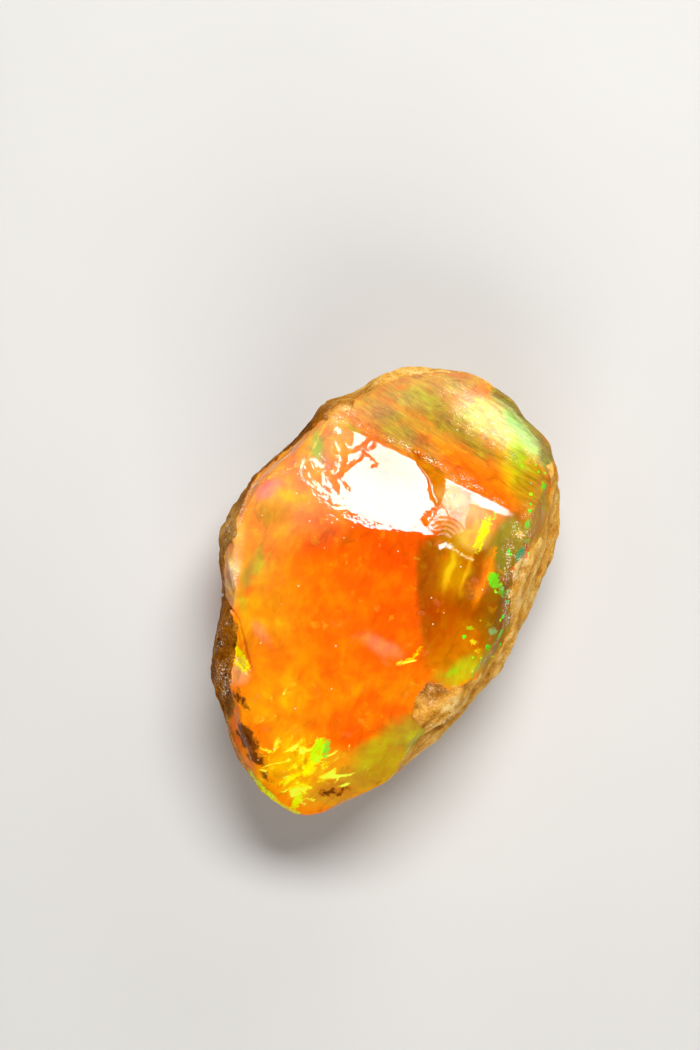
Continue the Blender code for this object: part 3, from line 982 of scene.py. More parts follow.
    def relief(self, points: np.ndarray) -> np.ndarray:
        """How far each point of the surface is raised, in millimetres.

        Args:
            points: places on the surface.

        Returns:
            One height for each place, nothing on the flat base.
        """
        outside = rind_outside(points)
        rind = smooth_step(outside, *self.rind_edge)
        flaky = sum(flakes.rise(points) for flakes in self.flakes)
        glassy = self.swell.rise(points) + most(RIPPLES, points) * (flaky + self.ripple.rise(points))
        heights = rind * self.weathering(points) + (1 - rind) * glassy
        step = self.step_height * smooth_step(outside, *self.step_front)
        heights += step * smooth_step(outside, *self.step_back)
        for shape in (*FINE_SHAPES, *UNDER_BREAKS):
            heights += shape.rise(points)
        return np.where(points[:, 2] < self.base_height, 0.0, heights)

    def weathering(self, points: np.ndarray) -> np.ndarray:
        """Relief of the rind: lumps, ledges of its layers, grains and pits, in millimetres."""
        layered = points / np.array(self.layer_size)
        ledges = self.ledge_top - self.ledge_drop * np.abs(grain(layered, 1.0, 2))
        pits = np.maximum(0.0, self.pits.rise(points) - self.pit_start)
        return self.lumps.rise(points) + ledges + self.grains.rise(points) - self.pit_depth * pits

    def seated(self, points: np.ndarray) -> np.ndarray:
        """The surface fitted back into the solid's own box, with its underside level."""
        low = np.array(CAD_BOX[0]) / MM
        high = np.array(CAD_BOX[1]) / MM
        points = points.copy()
        points[:, 2] = np.maximum(points[:, 2], low[2])
        own_low = points.min(axis=0)
        own_high = points.max(axis=0)
        return low + (points - own_low) * (high - low) / (own_high - own_low)

    def record_marks(self, mesh: Mesh, points: np.ndarray) -> None:
        """Writes the body's colours and the distances to its crisp marks on the surface's points.

        Args:
            mesh: the surface.
            points: its places in millimetres.
        """
        drift = wander(points, 3.0)
        jagged = wander(points, 0.9, 5.0)
        write_colour(mesh, Layer.TINT, blended(BODY_COLOUR, BODY, points + self.tint_stray * drift))
        strayed = [
            points + soft * drift + sharp * jagged
            for soft, sharp in (self.flash_stray, self.vein_and_light_stray, self.stain_stray)
        ]
        flash, flash_tint = nearest_mark(FLASHES, strayed[0])
        vein_and_light, vein_and_light_tint = nearest_mark(VEINS_AND_PAINTED_LIGHT, strayed[1])
        lined = vein_and_light > flash
        write_colour(mesh, Layer.FLASH_TINT, np.where(lined[:, None], vein_and_light_tint, flash_tint))
        insets = {
            Layer.FLASH: np.where(lined, vein_and_light, flash),
            Layer.STAIN: deepest(STAINS, strayed[2]),
            Layer.HACKLE: deepest((*CHANNELS, *POOLS), points),
        }
        for layer, inset in insets.items():
            write_value(mesh, layer, np.where(upper(points) > COVERED, inset, NO_MARK))

    def record_zones(self, mesh: Mesh, points: np.ndarray, crown: np.ndarray) -> None:
        """Writes the parts of the surface that look different on its points.

        Args:
            mesh: the surface.
            points: its places in millimetres.
            crown: 1 for the points on the crown's face.
        """
        top = upper(points)
        zones = {
            Layer.FROST_AND_GLINTS: most(FROST_AND_GLINTS, points),
            Layer.SHADE: sum(patch.cover(points) for patch in SHADES),
            Layer.SPARK: most(SPARKS, points),
            Layer.RIPPLE: most(RIPPLES, points),
            Layer.FLAME: most(FLAMES, points),
            Layer.SATIN: np.maximum(most(SATIN, points), crown),
            Layer.DULL: np.maximum(most(DULL, points), self.crown_dullness * crown),
        }
        for layer, share in zones.items():
            write_value(mesh, layer, top * share)
        write_value(mesh, Layer.RIND, rind_outside(points))
        write_value(mesh, Layer.RUST, most(RUSTY, points))
        write_value(mesh, Layer.HOLLOW, self.weathering(points))


def rind_outside(points: np.ndarray) -> np.ndarray:
    """Distance from the glassy breaks, above zero where the rind is left on the stone.

    Args:
        points: places on the stone.

    Returns:
        One distance for each place, in millimetres.
    """
    ragged = RAGGED.rise(points)
    plan = GLASS.outside(points) + ragged
    below = GIRDLE_SLOPE * (GIRDLE - points[:, 2]) + GIRDLE_RAGGED * ragged
    outside = np.maximum(plan, below)
    for bowl in UNDER_BREAKS:
        outside = np.minimum(outside, bowl.gap(points) + BREAK_RAGGED * ragged)
    return outside


def upper(points: np.ndarray) -> np.ndarray:
    """1 on the stone's upper side and 0 below its girdle."""
    return smooth_step(points[:, 2], GIRDLE + GIRDLE_FADE[0], GIRDLE + GIRDLE_FADE[1])


def most(patches: Sequence[Patch | Line], points: np.ndarray) -> np.ndarray:
    """The greatest cover that any of the patches gives each place."""
    return np.max([patch.cover(points) for patch in patches], axis=0)


def deepest(marks: Sequence[Patch | Line | Outline], points: np.ndarray) -> np.ndarray:
    """The greatest distance inwards from the edge of any of the marks."""
    return np.max([mark.inset(points) for mark in marks], axis=0)


def blended(ground: Colour, patches: Sequence[Patch | Line], points: np.ndarray) -> np.ndarray:
    """Colours of soft patches laid over each other in turn.

    Args:
        ground: the colour where no patch reaches.
        patches: the patches, the lowest first.
        points: places in the stone.

    Returns:
        A scene-linear colour for each place.
    """
    colours = np.tile(np.array(linear(ground)), (len(points), 1))
    for patch in patches:
        share = patch.cover(points)[:, None]
        colours = colours * (1 - share) + np.array(linear(patch.colour)) * share
    return colours


def nearest_mark(marks: Sequence[Patch | Line], points: np.ndarray) -> tuple[np.ndarray, np.ndarray]:
    """The nearest crisp mark at each place.

    Args:
        marks: the patches and lines.
        points: places in the stone.

    Returns:
        The distance inwards from that mark's edge, and its scene-linear colour.
    """
    insets = np.stack([mark.inset(points) for mark in marks])
    palette = np.array([linear(mark.colour) for mark in marks])
    return insets.max(axis=0), palette[insets.argmax(axis=0)]


def positions(mesh: Mesh) -> np.ndarray:
    """The mesh's points, in millimetres."""
    flat = np.empty(len(mesh.vertices) * 3)
    mesh.vertices.foreach_get("co", flat)
    return flat.reshape(-1, 3) / MM


def place_points(mesh: Mesh, points: np.ndarray) -> None:
    """Moves the mesh's points to places given in millimetres."""
    mesh.vertices.foreach_set("co", (points * MM).ravel())
    mesh.update()


def point_normals(mesh: Mesh) -> np.ndarray:
    """The mesh's outward directions, one for each point."""
    flat = np.empty(len(mesh.vertices) * 3)
    mesh.vertices.foreach_get("normal", flat)
    return flat.reshape(-1, 3)


def write_value(mesh: Mesh, layer: Layer, values: np.ndarray) -> None:
    """Stores one number on each point of a mesh, under a layer's name."""
    mesh.attributes.new(layer.value, "FLOAT", "POINT").data.foreach_set("value", values.astype(np.float32))


def write_colour(mesh: Mesh, layer: Layer, colours: np.ndarray) -> None:
    """Stores one scene-linear colour on each point of a mesh, under a layer's name."""
    filled = np.concatenate([colours, np.ones((len(colours), 1))], axis=1).astype(np.float32)
    mesh.attributes.new(layer.value, "FLOAT_COLOR", "POINT").data.foreach_set("color", filled.ravel())


@dataclass(frozen=True)
class Ease:
    """A smooth change from start to end while a value goes from low to high."""

    low: float
    high: float
    start: float = 0.0
    end: float = 1.0


@dataclass(frozen=True)
class Noise:
    """Soft noise in a finish, in millimetres.

    size is how far apart its lumps are, detail how many finer layers it has, roughness how strong those are
    and swirl how much it curls. turn is the direction in degrees along which its lumps lie, and stretch
    draws them out along that direction, across it and upwards.
    """

    size: float = 1.0
    detail: float = 2.0
    roughness: float = 0.5
    swirl: float = 0.0
    turn: float = 0.0
    stretch: Triple = (1.0, 1.0, 1.0)


@dataclass(frozen=True)
class Fray:
    """The ragged edge of a mark: the noise that frays it, how far that reaches and how the edge fades."""

    noise: Noise
    reach: float
    edge: Ease


@dataclass(frozen=True)
class Specks:
    """Small marks, one to a cell: the cells' size, which cells have one, how it fades and how it strays."""

    size: float
    chosen: Ease
    fade: Ease
    stray: float = 0.0


class Graph:
    """A finish's shader nodes, laid by plain method calls."""

    def __init__(self, tree: NodeTree) -> None:
        """Starts on a node tree."""
        self.tree = tree
        self.places: dict[tuple[float, Triple], NodeSocket] = {}

    def node(self, kind: str, **settings: object) -> Node:
        """A new node of a kind, named without its prefix, with some properties set."""
        made = self.tree.nodes.new("ShaderNode" + kind)
        for key, value in settings.items():
            setattr(made, key, value)
        return made

    def feed(self, socket: NodeSocket, value: object) -> None:
        """Joins a socket to another one, or sets its value."""
        if isinstance(value, NodeSocket):
            self.tree.links.new(value, socket)
        else:
            socket.default_value = value

    def feed_all(self, node: Node, values: dict[str | int, object]) -> None:
        """Joins or sets some of a node's inputs, each to a socket or a value."""
        for key, value in values.items():
            self.feed(node.inputs[key], value)

    def maths(self, operation: str, first: object, second: object = 0.0, clamp: bool = False) -> NodeSocket:
        """One sum of two values."""
        made = self.node("Math", operation=operation, use_clamp=clamp)
        self.feed_all(made, {0: first, 1: second})
        return made.outputs[0]

    def product(self, first: object, *others: object) -> NodeSocket:
        """Some values multiplied together."""
        for other in others:
            first = self.maths("MULTIPLY", first, other)
        return first

    def rest(self, value: object) -> NodeSocket:
        """What is left of 1 after a value."""
        return self.maths("SUBTRACT", 1.0, value)

    def rise(self, value: object, ease: Ease) -> NodeSocket:
        """A value eased from start to end while it goes from low to high."""
        made = self.node("MapRange", interpolation_type="SMOOTHSTEP")
        self.feed_all(made, {0: value, 1: ease.low, 2: ease.high, 3: ease.start, 4: ease.end})
        return made.outputs[0]

    def mix(self, share: object, first: object, second: object, blend: str = "MIX") -> NodeSocket:
        """A mix of two colours, which are the node's inputs 6 and 7."""
        made = self.node("Mix", data_type="RGBA", blend_type=blend)
        self.feed_all(made, {0: share, 6: first, 7: second})
        return made.outputs[2]

    def tinted(self, colour: object, tint: object) -> NodeSocket:
        """A colour multiplied by another one or by a number."""
        return self.mix(1.0, colour, (*tint, 1.0) if isinstance(tint, tuple) else tint, "MULTIPLY")

    def blend(self, share: object, first: object, second: object) -> NodeSocket:
        """A mix of two numbers, which are the node's inputs 2 and 3."""
        made = self.node("Mix", data_type="FLOAT")
        self.feed_all(made, {0: share, 2: first, 3: second})
        return made.outputs[0]

    def place(self, turn: float = 0.0, stretch: Triple = (1.0, 1.0, 1.0)) -> NodeSocket:
        """Object coordinates in millimetres, turned about +Z and then divided by a stretch.

        Args:
            turn: degrees, counter-clockwise, of the direction that becomes the first axis.
            stretch: millimetres that count as one along each axis.

        Returns:
            The coordinates, the same ones each time that they are asked for.
        """
        if (turn, stretch) not in self.places:
            turned = self.node("Mapping", vector_type="POINT")
            self.feed(turned.inputs["Vector"], self.node("TexCoord").outputs["Object"])
            self.feed(turned.inputs["Rotation"], (0.0, 0.0, -math.radians(turn)))
            scaled = self.node("VectorMath", operation="MULTIPLY")
            self.feed_all(scaled, {0: turned.outputs[0], 1: tuple(1 / (MM * part) for part in stretch)})
            self.places[turn, stretch] = scaled.outputs[0]
        return self.places[turn, stretch]

    def noise(self, look: Noise) -> NodeSocket:
        """Soft random values about 0.5."""
        made = self.node("TexNoise")
        values = {
            "Vector": self.place(look.turn, look.stretch),
            "Scale": 1 / look.size,
            "Detail": look.detail,
            "Roughness": look.roughness,
            "Distortion": look.swirl,
        }
        self.feed_all(made, values)
        return made.outputs[0]

    def specks(self, look: Specks) -> tuple[NodeSocket, NodeSocket, NodeSocket]:
        """Small marks, one to a cell.

        Args:
            look: what they look like.

        Returns:
            How much of its mark each place takes, and two random values of the mark's own.
        """
        made = self.node("TexVoronoi", feature="F1")
        place = self.strayed(look.stray) if look.stray else self.place()
        self.feed_all(made, {"Vector": place, "Scale": 1 / look.size})
        chance = self.node("SeparateColor")
        self.feed(chance.inputs[0], made.outputs["Color"])
        return self.rise(made.outputs["Distance"], look.fade), chance.outputs[0], chance.outputs[1]

    def strayed(self, reach: float) -> NodeSocket:
        """Object coordinates pushed about by soft noise, so that cells lose their even shape."""
        push = self.node("TexNoise")
        self.feed_all(push, {"Vector": self.place(), "Scale": PUSH_SCALE, "Detail": PUSH_DETAIL})
        moved = self.node("VectorMath", operation="MULTIPLY_ADD")
        self.feed_all(moved, {0: push.outputs["Color"], 1: (reach, reach, reach), 2: self.place()})
        return moved.outputs[0]

    def value(self, layer: Layer) -> NodeSocket:
        """A number from the stone's points."""
        return self.node("Attribute", attribute_type="GEOMETRY", attribute_name=layer.value).outputs["Fac"]

    def tint(self, layer: Layer) -> NodeSocket:
        """A colour from the stone's points."""
        return self.node("Attribute", attribute_type="GEOMETRY", attribute_name=layer.value).outputs["Color"]

    def frayed(self, layer: Layer, fray: Fray) -> NodeSocket:
        """Cover of the marks whose inward distances a layer holds, with ragged edges."""
        return self.rise(self.ragged(layer, fray), fray.edge)

    def ragged(self, layer: Layer, fray: Fray) -> NodeSocket:
        """A layer's inward distances, made uneven by noise."""
        uneven = self.product(self.maths("SUBTRACT", self.noise(fray.noise), MIDDLE), fray.reach)
        return self.maths("ADD", self.value(layer), uneven)

    def ramp(self, value: NodeSocket, stops: Stops) -> NodeSocket:
        """A colour chosen by a value.

        Args:
            value: from 0 to 1.
            stops: places along the ramp and their colours.

        Returns:
            The colour.
        """
        made = self.node("ValToRGB")
        elements = made.color_ramp.elements
        while len(elements) < len(stops):
            elements.new(1.0)
        for element, (place, colour) in zip(elements, stops):
            element.position = place
            element.color = opaque(colour)
        self.feed(made.inputs[0], value)
        return made.outputs[0]


@dataclass(frozen=True)
class OpalFinish:
    """Glassy fire opal with a satin crown and a sandy rind. Sizes and heights are in millimetres."""

    name: str = "fire_opal"
    ior: float = 1.45
    glass_roughness: float = 0.06
    satin_roughness: Ease = Ease(0.3, 0.7, 0.34, 0.5)
    rind_roughness: float = 0.55
    specular_level: float = 0.02
    coat_roughness: float = 0.03
    coat_ior: float = 1.5
    subsurface: float = 0.45
    subsurface_reach: float = 3.0
    subsurface_colour: Triple = (1.0, 0.45, 0.15)

    # Where the coat is wet: not in the hackly break's channels, less on steep slopes, in spots on the rind.
    crown_satin: Ease = Ease(0.9, 1.0)
    comb: Noise = Noise(2.6, 1.0)
    comb_lines: float = 16.0
    comb_depth: Ease = Ease(0.08, 0.40, -0.9, 0.9)
    hackle: Fray = Fray(Noise(0.32, 2.0, 0.6), 0.9, Ease(0.05, -0.05))
    wet_spots: Noise = Noise(1.1)
    wet_share: Ease = Ease(0.50, 0.60, 0.0, 0.8)
    wet_slope: Ease = Ease(0.0, 0.5, 0.15, 1.0)
    rind: Fray = Fray(Noise(0.45, 3.0), 0.5, Ease(-0.06, 0.10))

    # The body's clouds and wisps, and the crown's streaks.
    clouds: Noise = Noise(3.2, 3.0, 0.55)
    cloud_red: Ease = Ease(0.3, 0.7, 0.94, 1.0)
    cloud_green: Ease = Ease(0.32, 0.68, 0.77, 1.22)
    body_wisps: Noise = Noise(1.0, 5.0, 0.62, 0.9, 70.0, (3.6, 2.0, 3.0))
    crown_wisps: Noise = Noise(1.0, 5.0, 0.64, 1.3, -36.0, (3.2, 1.3, 3.2))
    body_wisp_depth: float = 0.44
    crown_wisp_depth: float = 0.62
    dark_wisp: Triple = (0.50, 0.62, 0.9)
    light_wisp: Triple = (1.0, 1.26, 1.0)
    dark_share: Ease = Ease(0.49, 0.34)
    light_share: Ease = Ease(0.50, 0.64)
    light_depth: float = 0.9
    brushed: Ease = Ease(0.34, 0.66, 0.86, 1.12)
    scratch: Noise = Noise(1.0, 4.0, 0.6, 0.5, -33.0, (2.6, 0.2, 2.6))

    # Fire: yellow flames at the foot, faint flecks everywhere, crisp flashes and small sparks at the edge.
    steep_flames: Noise = Noise(1.0, 4.0, 0.54, 0.8, 62.0, (3.4, 1.5, 2.6))
    level_flames: Noise = Noise(1.0, 4.0, 0.54, 0.8, 22.0, (3.6, 1.4, 2.6))
    flame_thinning: float = 0.30
    flame_edge: Ease = Ease(0.50, 0.59, 0.0, 0.95)
    flame_colours: Stops = ((0.53, (255, 196, 0)), (0.585, (255, 236, 20)), (0.65, (236, 255, 70)))
    flecks: Specks = Specks(0.9, Ease(0.7, 1.0, 0.0, 0.28), Ease(0.1, 0.8, 1.0, 0.0), 2.1)
    fleck_colours: Stops = (
        (0.0, (255, 70, 10)),
        (0.3, (255, 120, 10)),
        (0.55, (255, 190, 20)),
        (0.75, (180, 210, 40)),
        (0.9, (250, 130, 70)),
    )
    flash: Fray = Fray(Noise(0.35), 0.8, Ease(-0.08, 0.20))
    flicker: Noise = Noise(turn=62.0, stretch=(1.6, 0.3, 1.6))
    flicker_share: Ease = Ease(0.35, 0.62, 0.55, 1.0)
    sparks: Specks = Specks(0.9, Ease(0.58, 0.66), Ease(0.22, 0.34, 1.0, 0.0), 0.75)
    spark_colours: Stops = (
        (0.0, (40, 225, 60)), (0.5, (90, 235, 20)), (0.75, (225, 225, 30)), (0.95, (70, 190, 120)),
    )

    # Pale grains and painted glints, iron stains and the rind.
    powder_and_glints: Noise = Noise(0.26, 3.0, 0.7)
    powder_and_glint_edge: Ease = Ease(0.54, 0.60)
    veil: Noise = Noise(1.3)
    veil_edge: Ease = Ease(0.38, 0.6)
    # Lone white specks scattered over the stone are painted glints.
    lone_glints: Specks = Specks(1.5, Ease(0.5, 0.55), Ease(0.05, 0.08, 0.8, 0.0))
    frost_and_glint_colour: Colour = (255, 238, 206)
    stain: Fray = Fray(Noise(0.5, 4.0, 0.7), 1.0, Ease(0.08, 0.22, 0.0, 0.85))
    stain_rim: Ease = Ease(-0.12, 0.02, 0.0, 0.85)
    bands: Noise = Noise(1.0, 3.0, 0.6, stretch=(3.6, 3.6, 1.2))
    blotches: Noise = Noise(2.4, 3.0, 0.6)
    sand: Noise = Noise(0.33, 3.0, 0.75)
    hollows: Ease = Ease(-0.45, 0.45)
    hollow_share: float = 0.25
    shade_step: float = 0.12
    sandy: Stops = (
        (0.28, (88, 46, 6)), (0.42, (176, 112, 30)), (0.53, (220, 158, 60)), (0.68, (252, 214, 136)),
    )
    rusty: Stops = (
        (0.28, (34, 14, 0)), (0.43, (100, 52, 2)), (0.55, (154, 88, 6)), (0.70, (218, 148, 36)),
    )

    # Relief too fine for the mesh, as noises and their heights.
    rind_grain: Noise = Noise(0.4, 4.0, 0.7)
    rind_grain_height: float = 0.20
    wave: Noise = Noise(0.5, 2.0, 0.6)
    wave_height: float = 0.05
    calm: Noise = Noise(0.7, 1.0, 0.4)
    calm_height: float = 0.012
    polish: Noise = Noise(0.26, 1.0)
    polish_height: float = 0.0024
    scratch_height: float = 0.016

    def material(self) -> Material:
        """The stone's material.

        Returns:
            A material with one shader.
        """
        made = bpy.data.materials.new(self.name)
        made.use_nodes = True
        graph = Graph(made.node_tree)
        rind = graph.frayed(Layer.RIND, self.rind)
        satin = graph.value(Layer.SATIN)
        scratches = graph.noise(self.scratch)
        crown = graph.rise(satin, self.crown_satin)
        body = self.body_colour(graph, crown, scratches)
        colour = graph.mix(rind, body, self.rind_colour(graph))
        colour = self.frosted_and_glinted(graph, self.stained(graph, colour))
        glass = graph.blend(satin, self.glass_roughness, graph.rise(scratches, self.satin_roughness))
        normal = self.fine_relief(graph, rind, crown, scratches)
        values = {
            "Base Color": colour,
            "Roughness": graph.blend(rind, glass, self.rind_roughness),
            "IOR": self.ior,
            "Specular IOR Level": self.specular_level,
            "Subsurface Weight": self.subsurface,
            "Subsurface Radius": self.subsurface_colour,
            "Subsurface Scale": self.subsurface_reach * MM,
            "Coat Weight": self.wetness(graph, rind, satin),
            "Coat Roughness": self.coat_roughness,
            "Coat IOR": self.coat_ior,
            "Normal": normal,
            "Coat Normal": normal,
        }
        graph.feed_all(made.node_tree.nodes["Principled BSDF"], values)
        return made

    def wetness(self, graph: Graph, rind: NodeSocket, satin: NodeSocket) -> NodeSocket:
        """How clear a coat the surface has, full on level glassy breaks and spotty on the rind."""
        gloss = graph.value(Layer.GLOSS)
        matt = graph.rest(self.combed(graph, graph.value(Layer.DULL)))
        bright = graph.product(gloss, matt, graph.frayed(Layer.HACKLE, self.hackle))
        wet = graph.rise(graph.noise(self.wet_spots), self.wet_share)
        wet = graph.product(wet, graph.rise(gloss, self.wet_slope))
        return graph.blend(rind, graph.blend(satin, bright, 0.0), wet)

    def combed(self, graph: Graph, dull: NodeSocket) -> NodeSocket:
        """Dullness broken into fine wavy lines where the break is half dull."""
        flow = graph.product(graph.noise(self.comb), self.comb_lines)
        lines = graph.rise(graph.maths("PINGPONG", flow, MIDDLE), self.comb_depth)
        half = graph.product(dull, graph.rest(dull))
        return graph.maths("ADD", dull, graph.product(half, lines), clamp=True)

    def body_colour(self, graph: Graph, crown: NodeSocket, scratches: NodeSocket) -> NodeSocket:
        """The opal's colour, with painted veils, sheen and glints among it, its clouds, its flecks of fire and
        its flashes.
        """
        cloud = graph.noise(self.clouds)
        warmth = graph.node("CombineColor")
        shares = {0: graph.rise(cloud, self.cloud_red), 1: graph.rise(cloud, self.cloud_green), 2: 1.0}
        graph.feed_all(warmth, shares)
        colour = graph.tinted(graph.tint(Layer.TINT), warmth.outputs[0])
        colour = self.streaked(graph, crown, scratches, colour)
        colour = self.fire_flecks(graph, colour)
        colour = self.flaming(graph, colour)
        colour = self.flashed(graph, colour)
        return self.sparked(graph, colour)

    def streaked(
        self, graph: Graph, crown: NodeSocket, scratches: NodeSocket, colour: NodeSocket
    ) -> NodeSocket:
        """The colour with darker olive wisps, along the crown's slope and down through the body."""
        streak = graph.blend(crown, graph.noise(self.body_wisps), graph.noise(self.crown_wisps))
        depth = graph.blend(crown, self.body_wisp_depth, self.crown_wisp_depth)
        low = graph.product(graph.rise(streak, self.dark_share), depth)
        high = graph.product(graph.rise(streak, self.light_share), self.light_depth)
        lit = graph.mix(high, colour, graph.tinted(colour, self.light_wisp))
        wisped = graph.mix(low, lit, graph.tinted(colour, self.dark_wisp))
        return graph.mix(crown, wisped, graph.tinted(wisped, graph.rise(scratches, self.brushed)))

    def flaming(self, graph: Graph, colour: NodeSocket) -> NodeSocket:
        """The colour with slanting yellow flames at the stone's foot."""
        tongues = graph.maths("MAXIMUM", graph.noise(self.steep_flames), graph.noise(self.level_flames))
        away = graph.product(graph.rest(graph.value(Layer.FLAME)), self.flame_thinning)
        share = graph.rise(graph.maths("SUBTRACT", tongues, away), self.flame_edge)
        return graph.mix(share, colour, graph.ramp(tongues, self.flame_colours))

    def fire_flecks(self, graph: Graph, colour: NodeSocket) -> NodeSocket:
        """The colour with faint flecks of other fire in it."""
        soft, hue, chance = graph.specks(self.flecks)
        share = graph.product(graph.rise(chance, self.flecks.chosen), soft)
        return graph.mix(share, colour, graph.ramp(hue, self.fleck_colours))

    def flashed(self, graph: Graph, colour: NodeSocket) -> NodeSocket:
        """The colour with the opal's crisp flashes and fine lines over it, a painted glint and a painted glow
        among the lines.
        """
        flicker = graph.rise(graph.noise(self.flicker), self.flicker_share)
        share = graph.product(graph.frayed(Layer.FLASH, self.flash), flicker)
        return graph.mix(share, colour, graph.tint(Layer.FLASH_TINT))

    def sparked(self, graph: Graph, colour: NodeSocket) -> NodeSocket:
        """The colour with small sparks of green and yellow along the edge."""
        dot, chance, hue = graph.specks(self.sparks)
        chosen = graph.rise(graph.product(chance, graph.value(Layer.SPARK)), self.sparks.chosen)
        return graph.mix(graph.product(chosen, dot), colour, graph.ramp(hue, self.spark_colours))

    def frosted_and_glinted(self, graph: Graph, colour: NodeSocket) -> NodeSocket:
        """The colour with fine pale grains and painted glints, thick in places and scattered elsewhere."""
        powder_and_glints = graph.rise(graph.noise(self.powder_and_glints), self.powder_and_glint_edge)
        veil = graph.rise(graph.noise(self.veil), self.veil_edge)
        dense = graph.product(powder_and_glints, veil, graph.value(Layer.FROST_AND_GLINTS))
        dot, chance, _ = graph.specks(self.lone_glints)
        lone = graph.product(dot, graph.rise(chance, self.lone_glints.chosen))
        return graph.mix(graph.maths("MAXIMUM", dense, lone), colour, opaque(self.frost_and_glint_colour))

    def rind_colour(self, graph: Graph) -> NodeSocket:
        """Sandy tan, darker in its hollows, banded along its layers and rusty in places."""
        shade = graph.blend(0.5, graph.noise(self.bands), graph.noise(self.blotches))
        shade = graph.blend(0.5, shade, graph.noise(self.sand))
        shade = graph.blend(self.hollow_share, shade, graph.rise(graph.value(Layer.HOLLOW), self.hollows))
        shade = graph.maths("ADD", shade, graph.product(graph.value(Layer.SHADE), self.shade_step))
        pale, brown = graph.ramp(shade, self.sandy), graph.ramp(shade, self.rusty)
        return graph.mix(graph.value(Layer.RUST), pale, brown)

    def stained(self, graph: Graph, colour: NodeSocket) -> NodeSocket:
        """The colour with brown iron stains on it, paler at their rims."""
        inset = graph.ragged(Layer.STAIN, self.stain)
        rimmed = graph.mix(graph.rise(inset, self.stain_rim), colour, opaque(STAIN_EDGE))
        return graph.mix(graph.rise(inset, self.stain.edge), rimmed, opaque(STAIN_COLOUR))

    def fine_relief(
        self, graph: Graph, rind: NodeSocket, crown: NodeSocket, scratches: NodeSocket
    ) -> NodeSocket:
        """Relief too fine for the mesh: grains of the rind, scratches and ripples.

        Args:
            graph: the shader's nodes.
            rind: share of rind.
            crown: share of the crown's face.
            scratches: that face's streaks.

        Returns:
            The bent normal.
        """
        sand = graph.product(graph.noise(self.rind_grain), self.rind_grain_height)
        wave = graph.product(graph.noise(self.wave), self.wave_height, graph.value(Layer.RIPPLE))
        calm = graph.product(graph.noise(self.calm), self.calm_height)
        polish = graph.product(graph.noise(self.polish), self.polish_height)
        lines = graph.product(scratches, self.scratch_height, crown)
        glass = graph.maths("ADD", graph.maths("ADD", graph.maths("ADD", calm, polish), wave), lines)
        bump = graph.node("Bump")
        graph.feed_all(bump, {"Strength": 1.0, "Distance": MM, "Height": graph.blend(rind, glass, sand)})
        return bump.outputs[0]


@dataclass(frozen=True)
class TableFinish:
    """Smooth pale paper that the stone lies on."""

    name: str = "pale_paper"
    colour: Colour = (206, 204, 200)
    clouds: Noise = Noise(60.0)
    cloud_share: Ease = Ease(0.3, 0.7, 0.97, 1.0)
    roughness: float = 0.85
    specular_level: float = 0.2

    def material(self) -> Material:
        """The table's material, with a faint cloudiness."""
        made = bpy.data.materials.new(self.name)
        made.use_nodes = True
        graph = Graph(made.node_tree)
        tone = graph.rise(graph.noise(self.clouds), self.cloud_share)
        values = {
            "Base Color": graph.tinted(opaque(self.colour), tone),
            "Roughness": self.roughness,
            "Specular IOR Level": self.specular_level,
        }
        graph.feed_all(made.node_tree.nodes["Principled BSDF"], values)
        return made


@dataclass
class Softbox:
    """One soft lamp, aimed at a point of the stone.

    lean is the compass direction that it hangs in, in degrees, and tilt its angle away from straight up.
    """

    name: str
    lean: float
    tilt: float
    distance: float
    size: Pair
    radiance: float
    aim: Triple = (0.0, 8.0, 24.0)
    round_edged: bool = False
    mirrored: bool = True

    def light(self) -> None:
        """Hangs the lamp."""
        data = bpy.data.lights.new(self.name, "AREA")
        data.shape = "ELLIPSE" if self.round_edged else "RECTANGLE"
        data.size, data.size_y = (side * MM for side in self.size)
        filled = math.pi / 4 if self.round_edged else 1.0
        data.energy = self.radiance * math.pi * filled * data.size * data.size_y
        lean, tilt = math.radians(self.lean), math.radians(self.tilt)
        away = Vector((math.sin(tilt) * math.cos(lean), math.sin(tilt) * math.sin(lean), math.cos(tilt)))
        lamp = bpy.data.objects.new(self.name, data)
        lamp.location = (Vector(self.aim) + away * self.distance) * MM
        lamp.rotation_euler = away.to_track_quat("Z", "Y").to_euler()
        lamp.visible_glossy = self.mirrored
        bpy.context.scene.collection.objects.link(lamp)


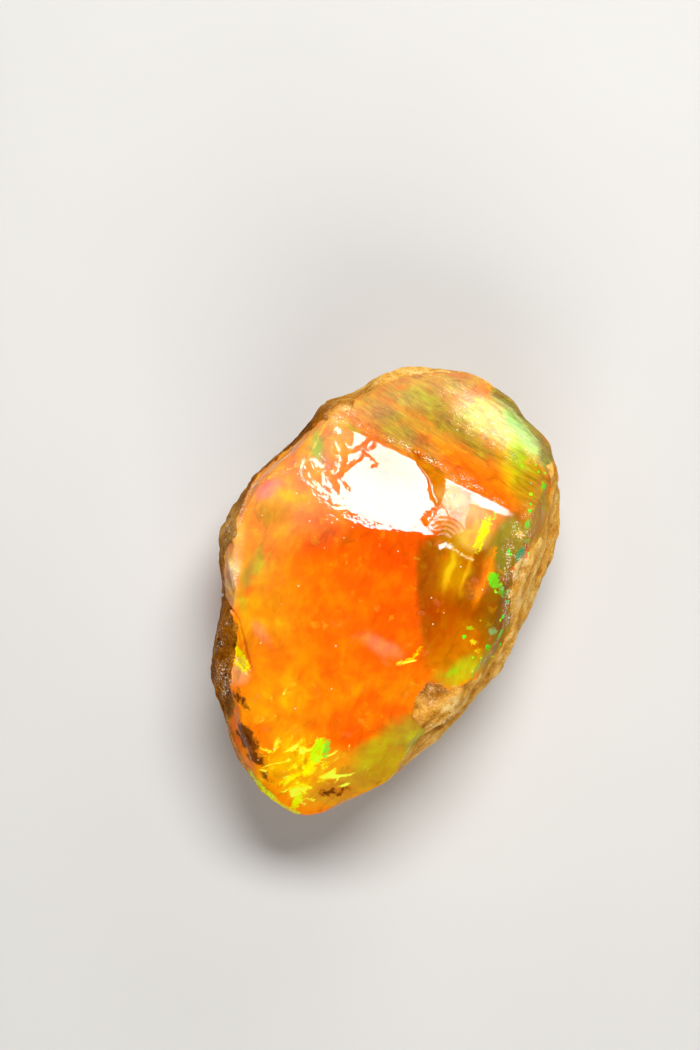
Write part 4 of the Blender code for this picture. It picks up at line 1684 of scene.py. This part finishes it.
@dataclass
class Studio:
    """Pale table, soft lamps and a camera that looks straight down, in millimetres.

    horizon and zenith are the surround light's strengths, and sky_height is how high up it is at the second.
    """

    table_half: float = 1500.0
    camera_place: Triple = (-4.44, 8.13, 377.0)
    lens: float = 100.0
    sensor: float = 36.0
    nearest: float = 10.0
    farthest: float = 10000.0
    horizon: float = 0.22
    zenith: float = 0.03
    sky_height: float = 0.8

    def build(self) -> None:
        """Lays the table, hangs the lamps and sets the camera."""
        self.table()
        for lamp in self.lamps():
            lamp.light()
        self.sky()
        self.camera()
        bpy.context.scene.view_settings.view_transform = "Standard"

    def lamps(self) -> tuple[Softbox, ...]:
        """The lamps: a key above the stone's broad end, a low rim lamp and a fill that nothing mirrors."""
        return (
            Softbox("key", 75.3, 29.4, 500.0, size=(306.0, 169.0), radiance=24.0, round_edged=True),
            Softbox("rim", 63.0, 70.0, 600.0, size=(220.0, 260.0), radiance=4.0),
            Softbox("fill", 268.0, 58.0, 700.0, size=(520.0, 400.0), radiance=4.6, mirrored=False),
        )

    def table(self) -> None:
        """Lays the table under the stone."""
        bm = bmesh.new()
        bmesh.ops.create_grid(bm, x_segments=1, y_segments=1, size=self.table_half * MM)
        mesh = bpy.data.meshes.new("table")
        bm.to_mesh(mesh)
        bm.free()
        table = bpy.data.objects.new("table", mesh)
        table.location.z = CAD_BOX[0][2]
        mesh.materials.append(TableFinish().material())
        bpy.context.scene.collection.objects.link(table)

    def sky(self) -> None:
        """Dim surround light, brighter towards the horizon."""
        world = bpy.data.worlds.new("surround")
        bpy.context.scene.world = world
        world.use_nodes = True
        graph = Graph(world.node_tree)
        direction = graph.node("SeparateXYZ")
        graph.feed(direction.inputs[0], graph.node("TexCoord").outputs["Generated"])
        strength = graph.rise(direction.outputs["Z"], Ease(0.0, self.sky_height, self.horizon, self.zenith))
        values = {"Strength": strength, "Color": (1.0, 1.0, 1.0, 1.0)}
        graph.feed_all(world.node_tree.nodes["Background"], values)

    def camera(self) -> None:
        """Sets the camera straight above the stone with +Y up in the view."""
        data = bpy.data.cameras.new("camera")
        data.lens = self.lens
        data.sensor_width = self.sensor
        data.clip_start = self.nearest * MM
        data.clip_end = self.farthest * MM
        camera = bpy.data.objects.new("camera", data)
        camera.location = Vector(self.camera_place) * MM
        bpy.context.scene.collection.objects.link(camera)
        bpy.context.scene.camera = camera


def main() -> None:
    """Builds the stone and its studio, and notes the sizes."""
    logging.basicConfig(level=logging.INFO, format="%(name)s: %(message)s")
    skin = OpalSkin()
    stone = skin.build()
    stone.data.materials.append(OpalFinish().material())
    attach(stone, "root")
    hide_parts(skin.node)
    LOG.info("%s: %d points, %d faces", stone.name, len(stone.data.vertices), len(stone.data.polygons))
    Studio().build()
    bpy.context.view_layer.update()


if __name__ == "__main__":
    main()
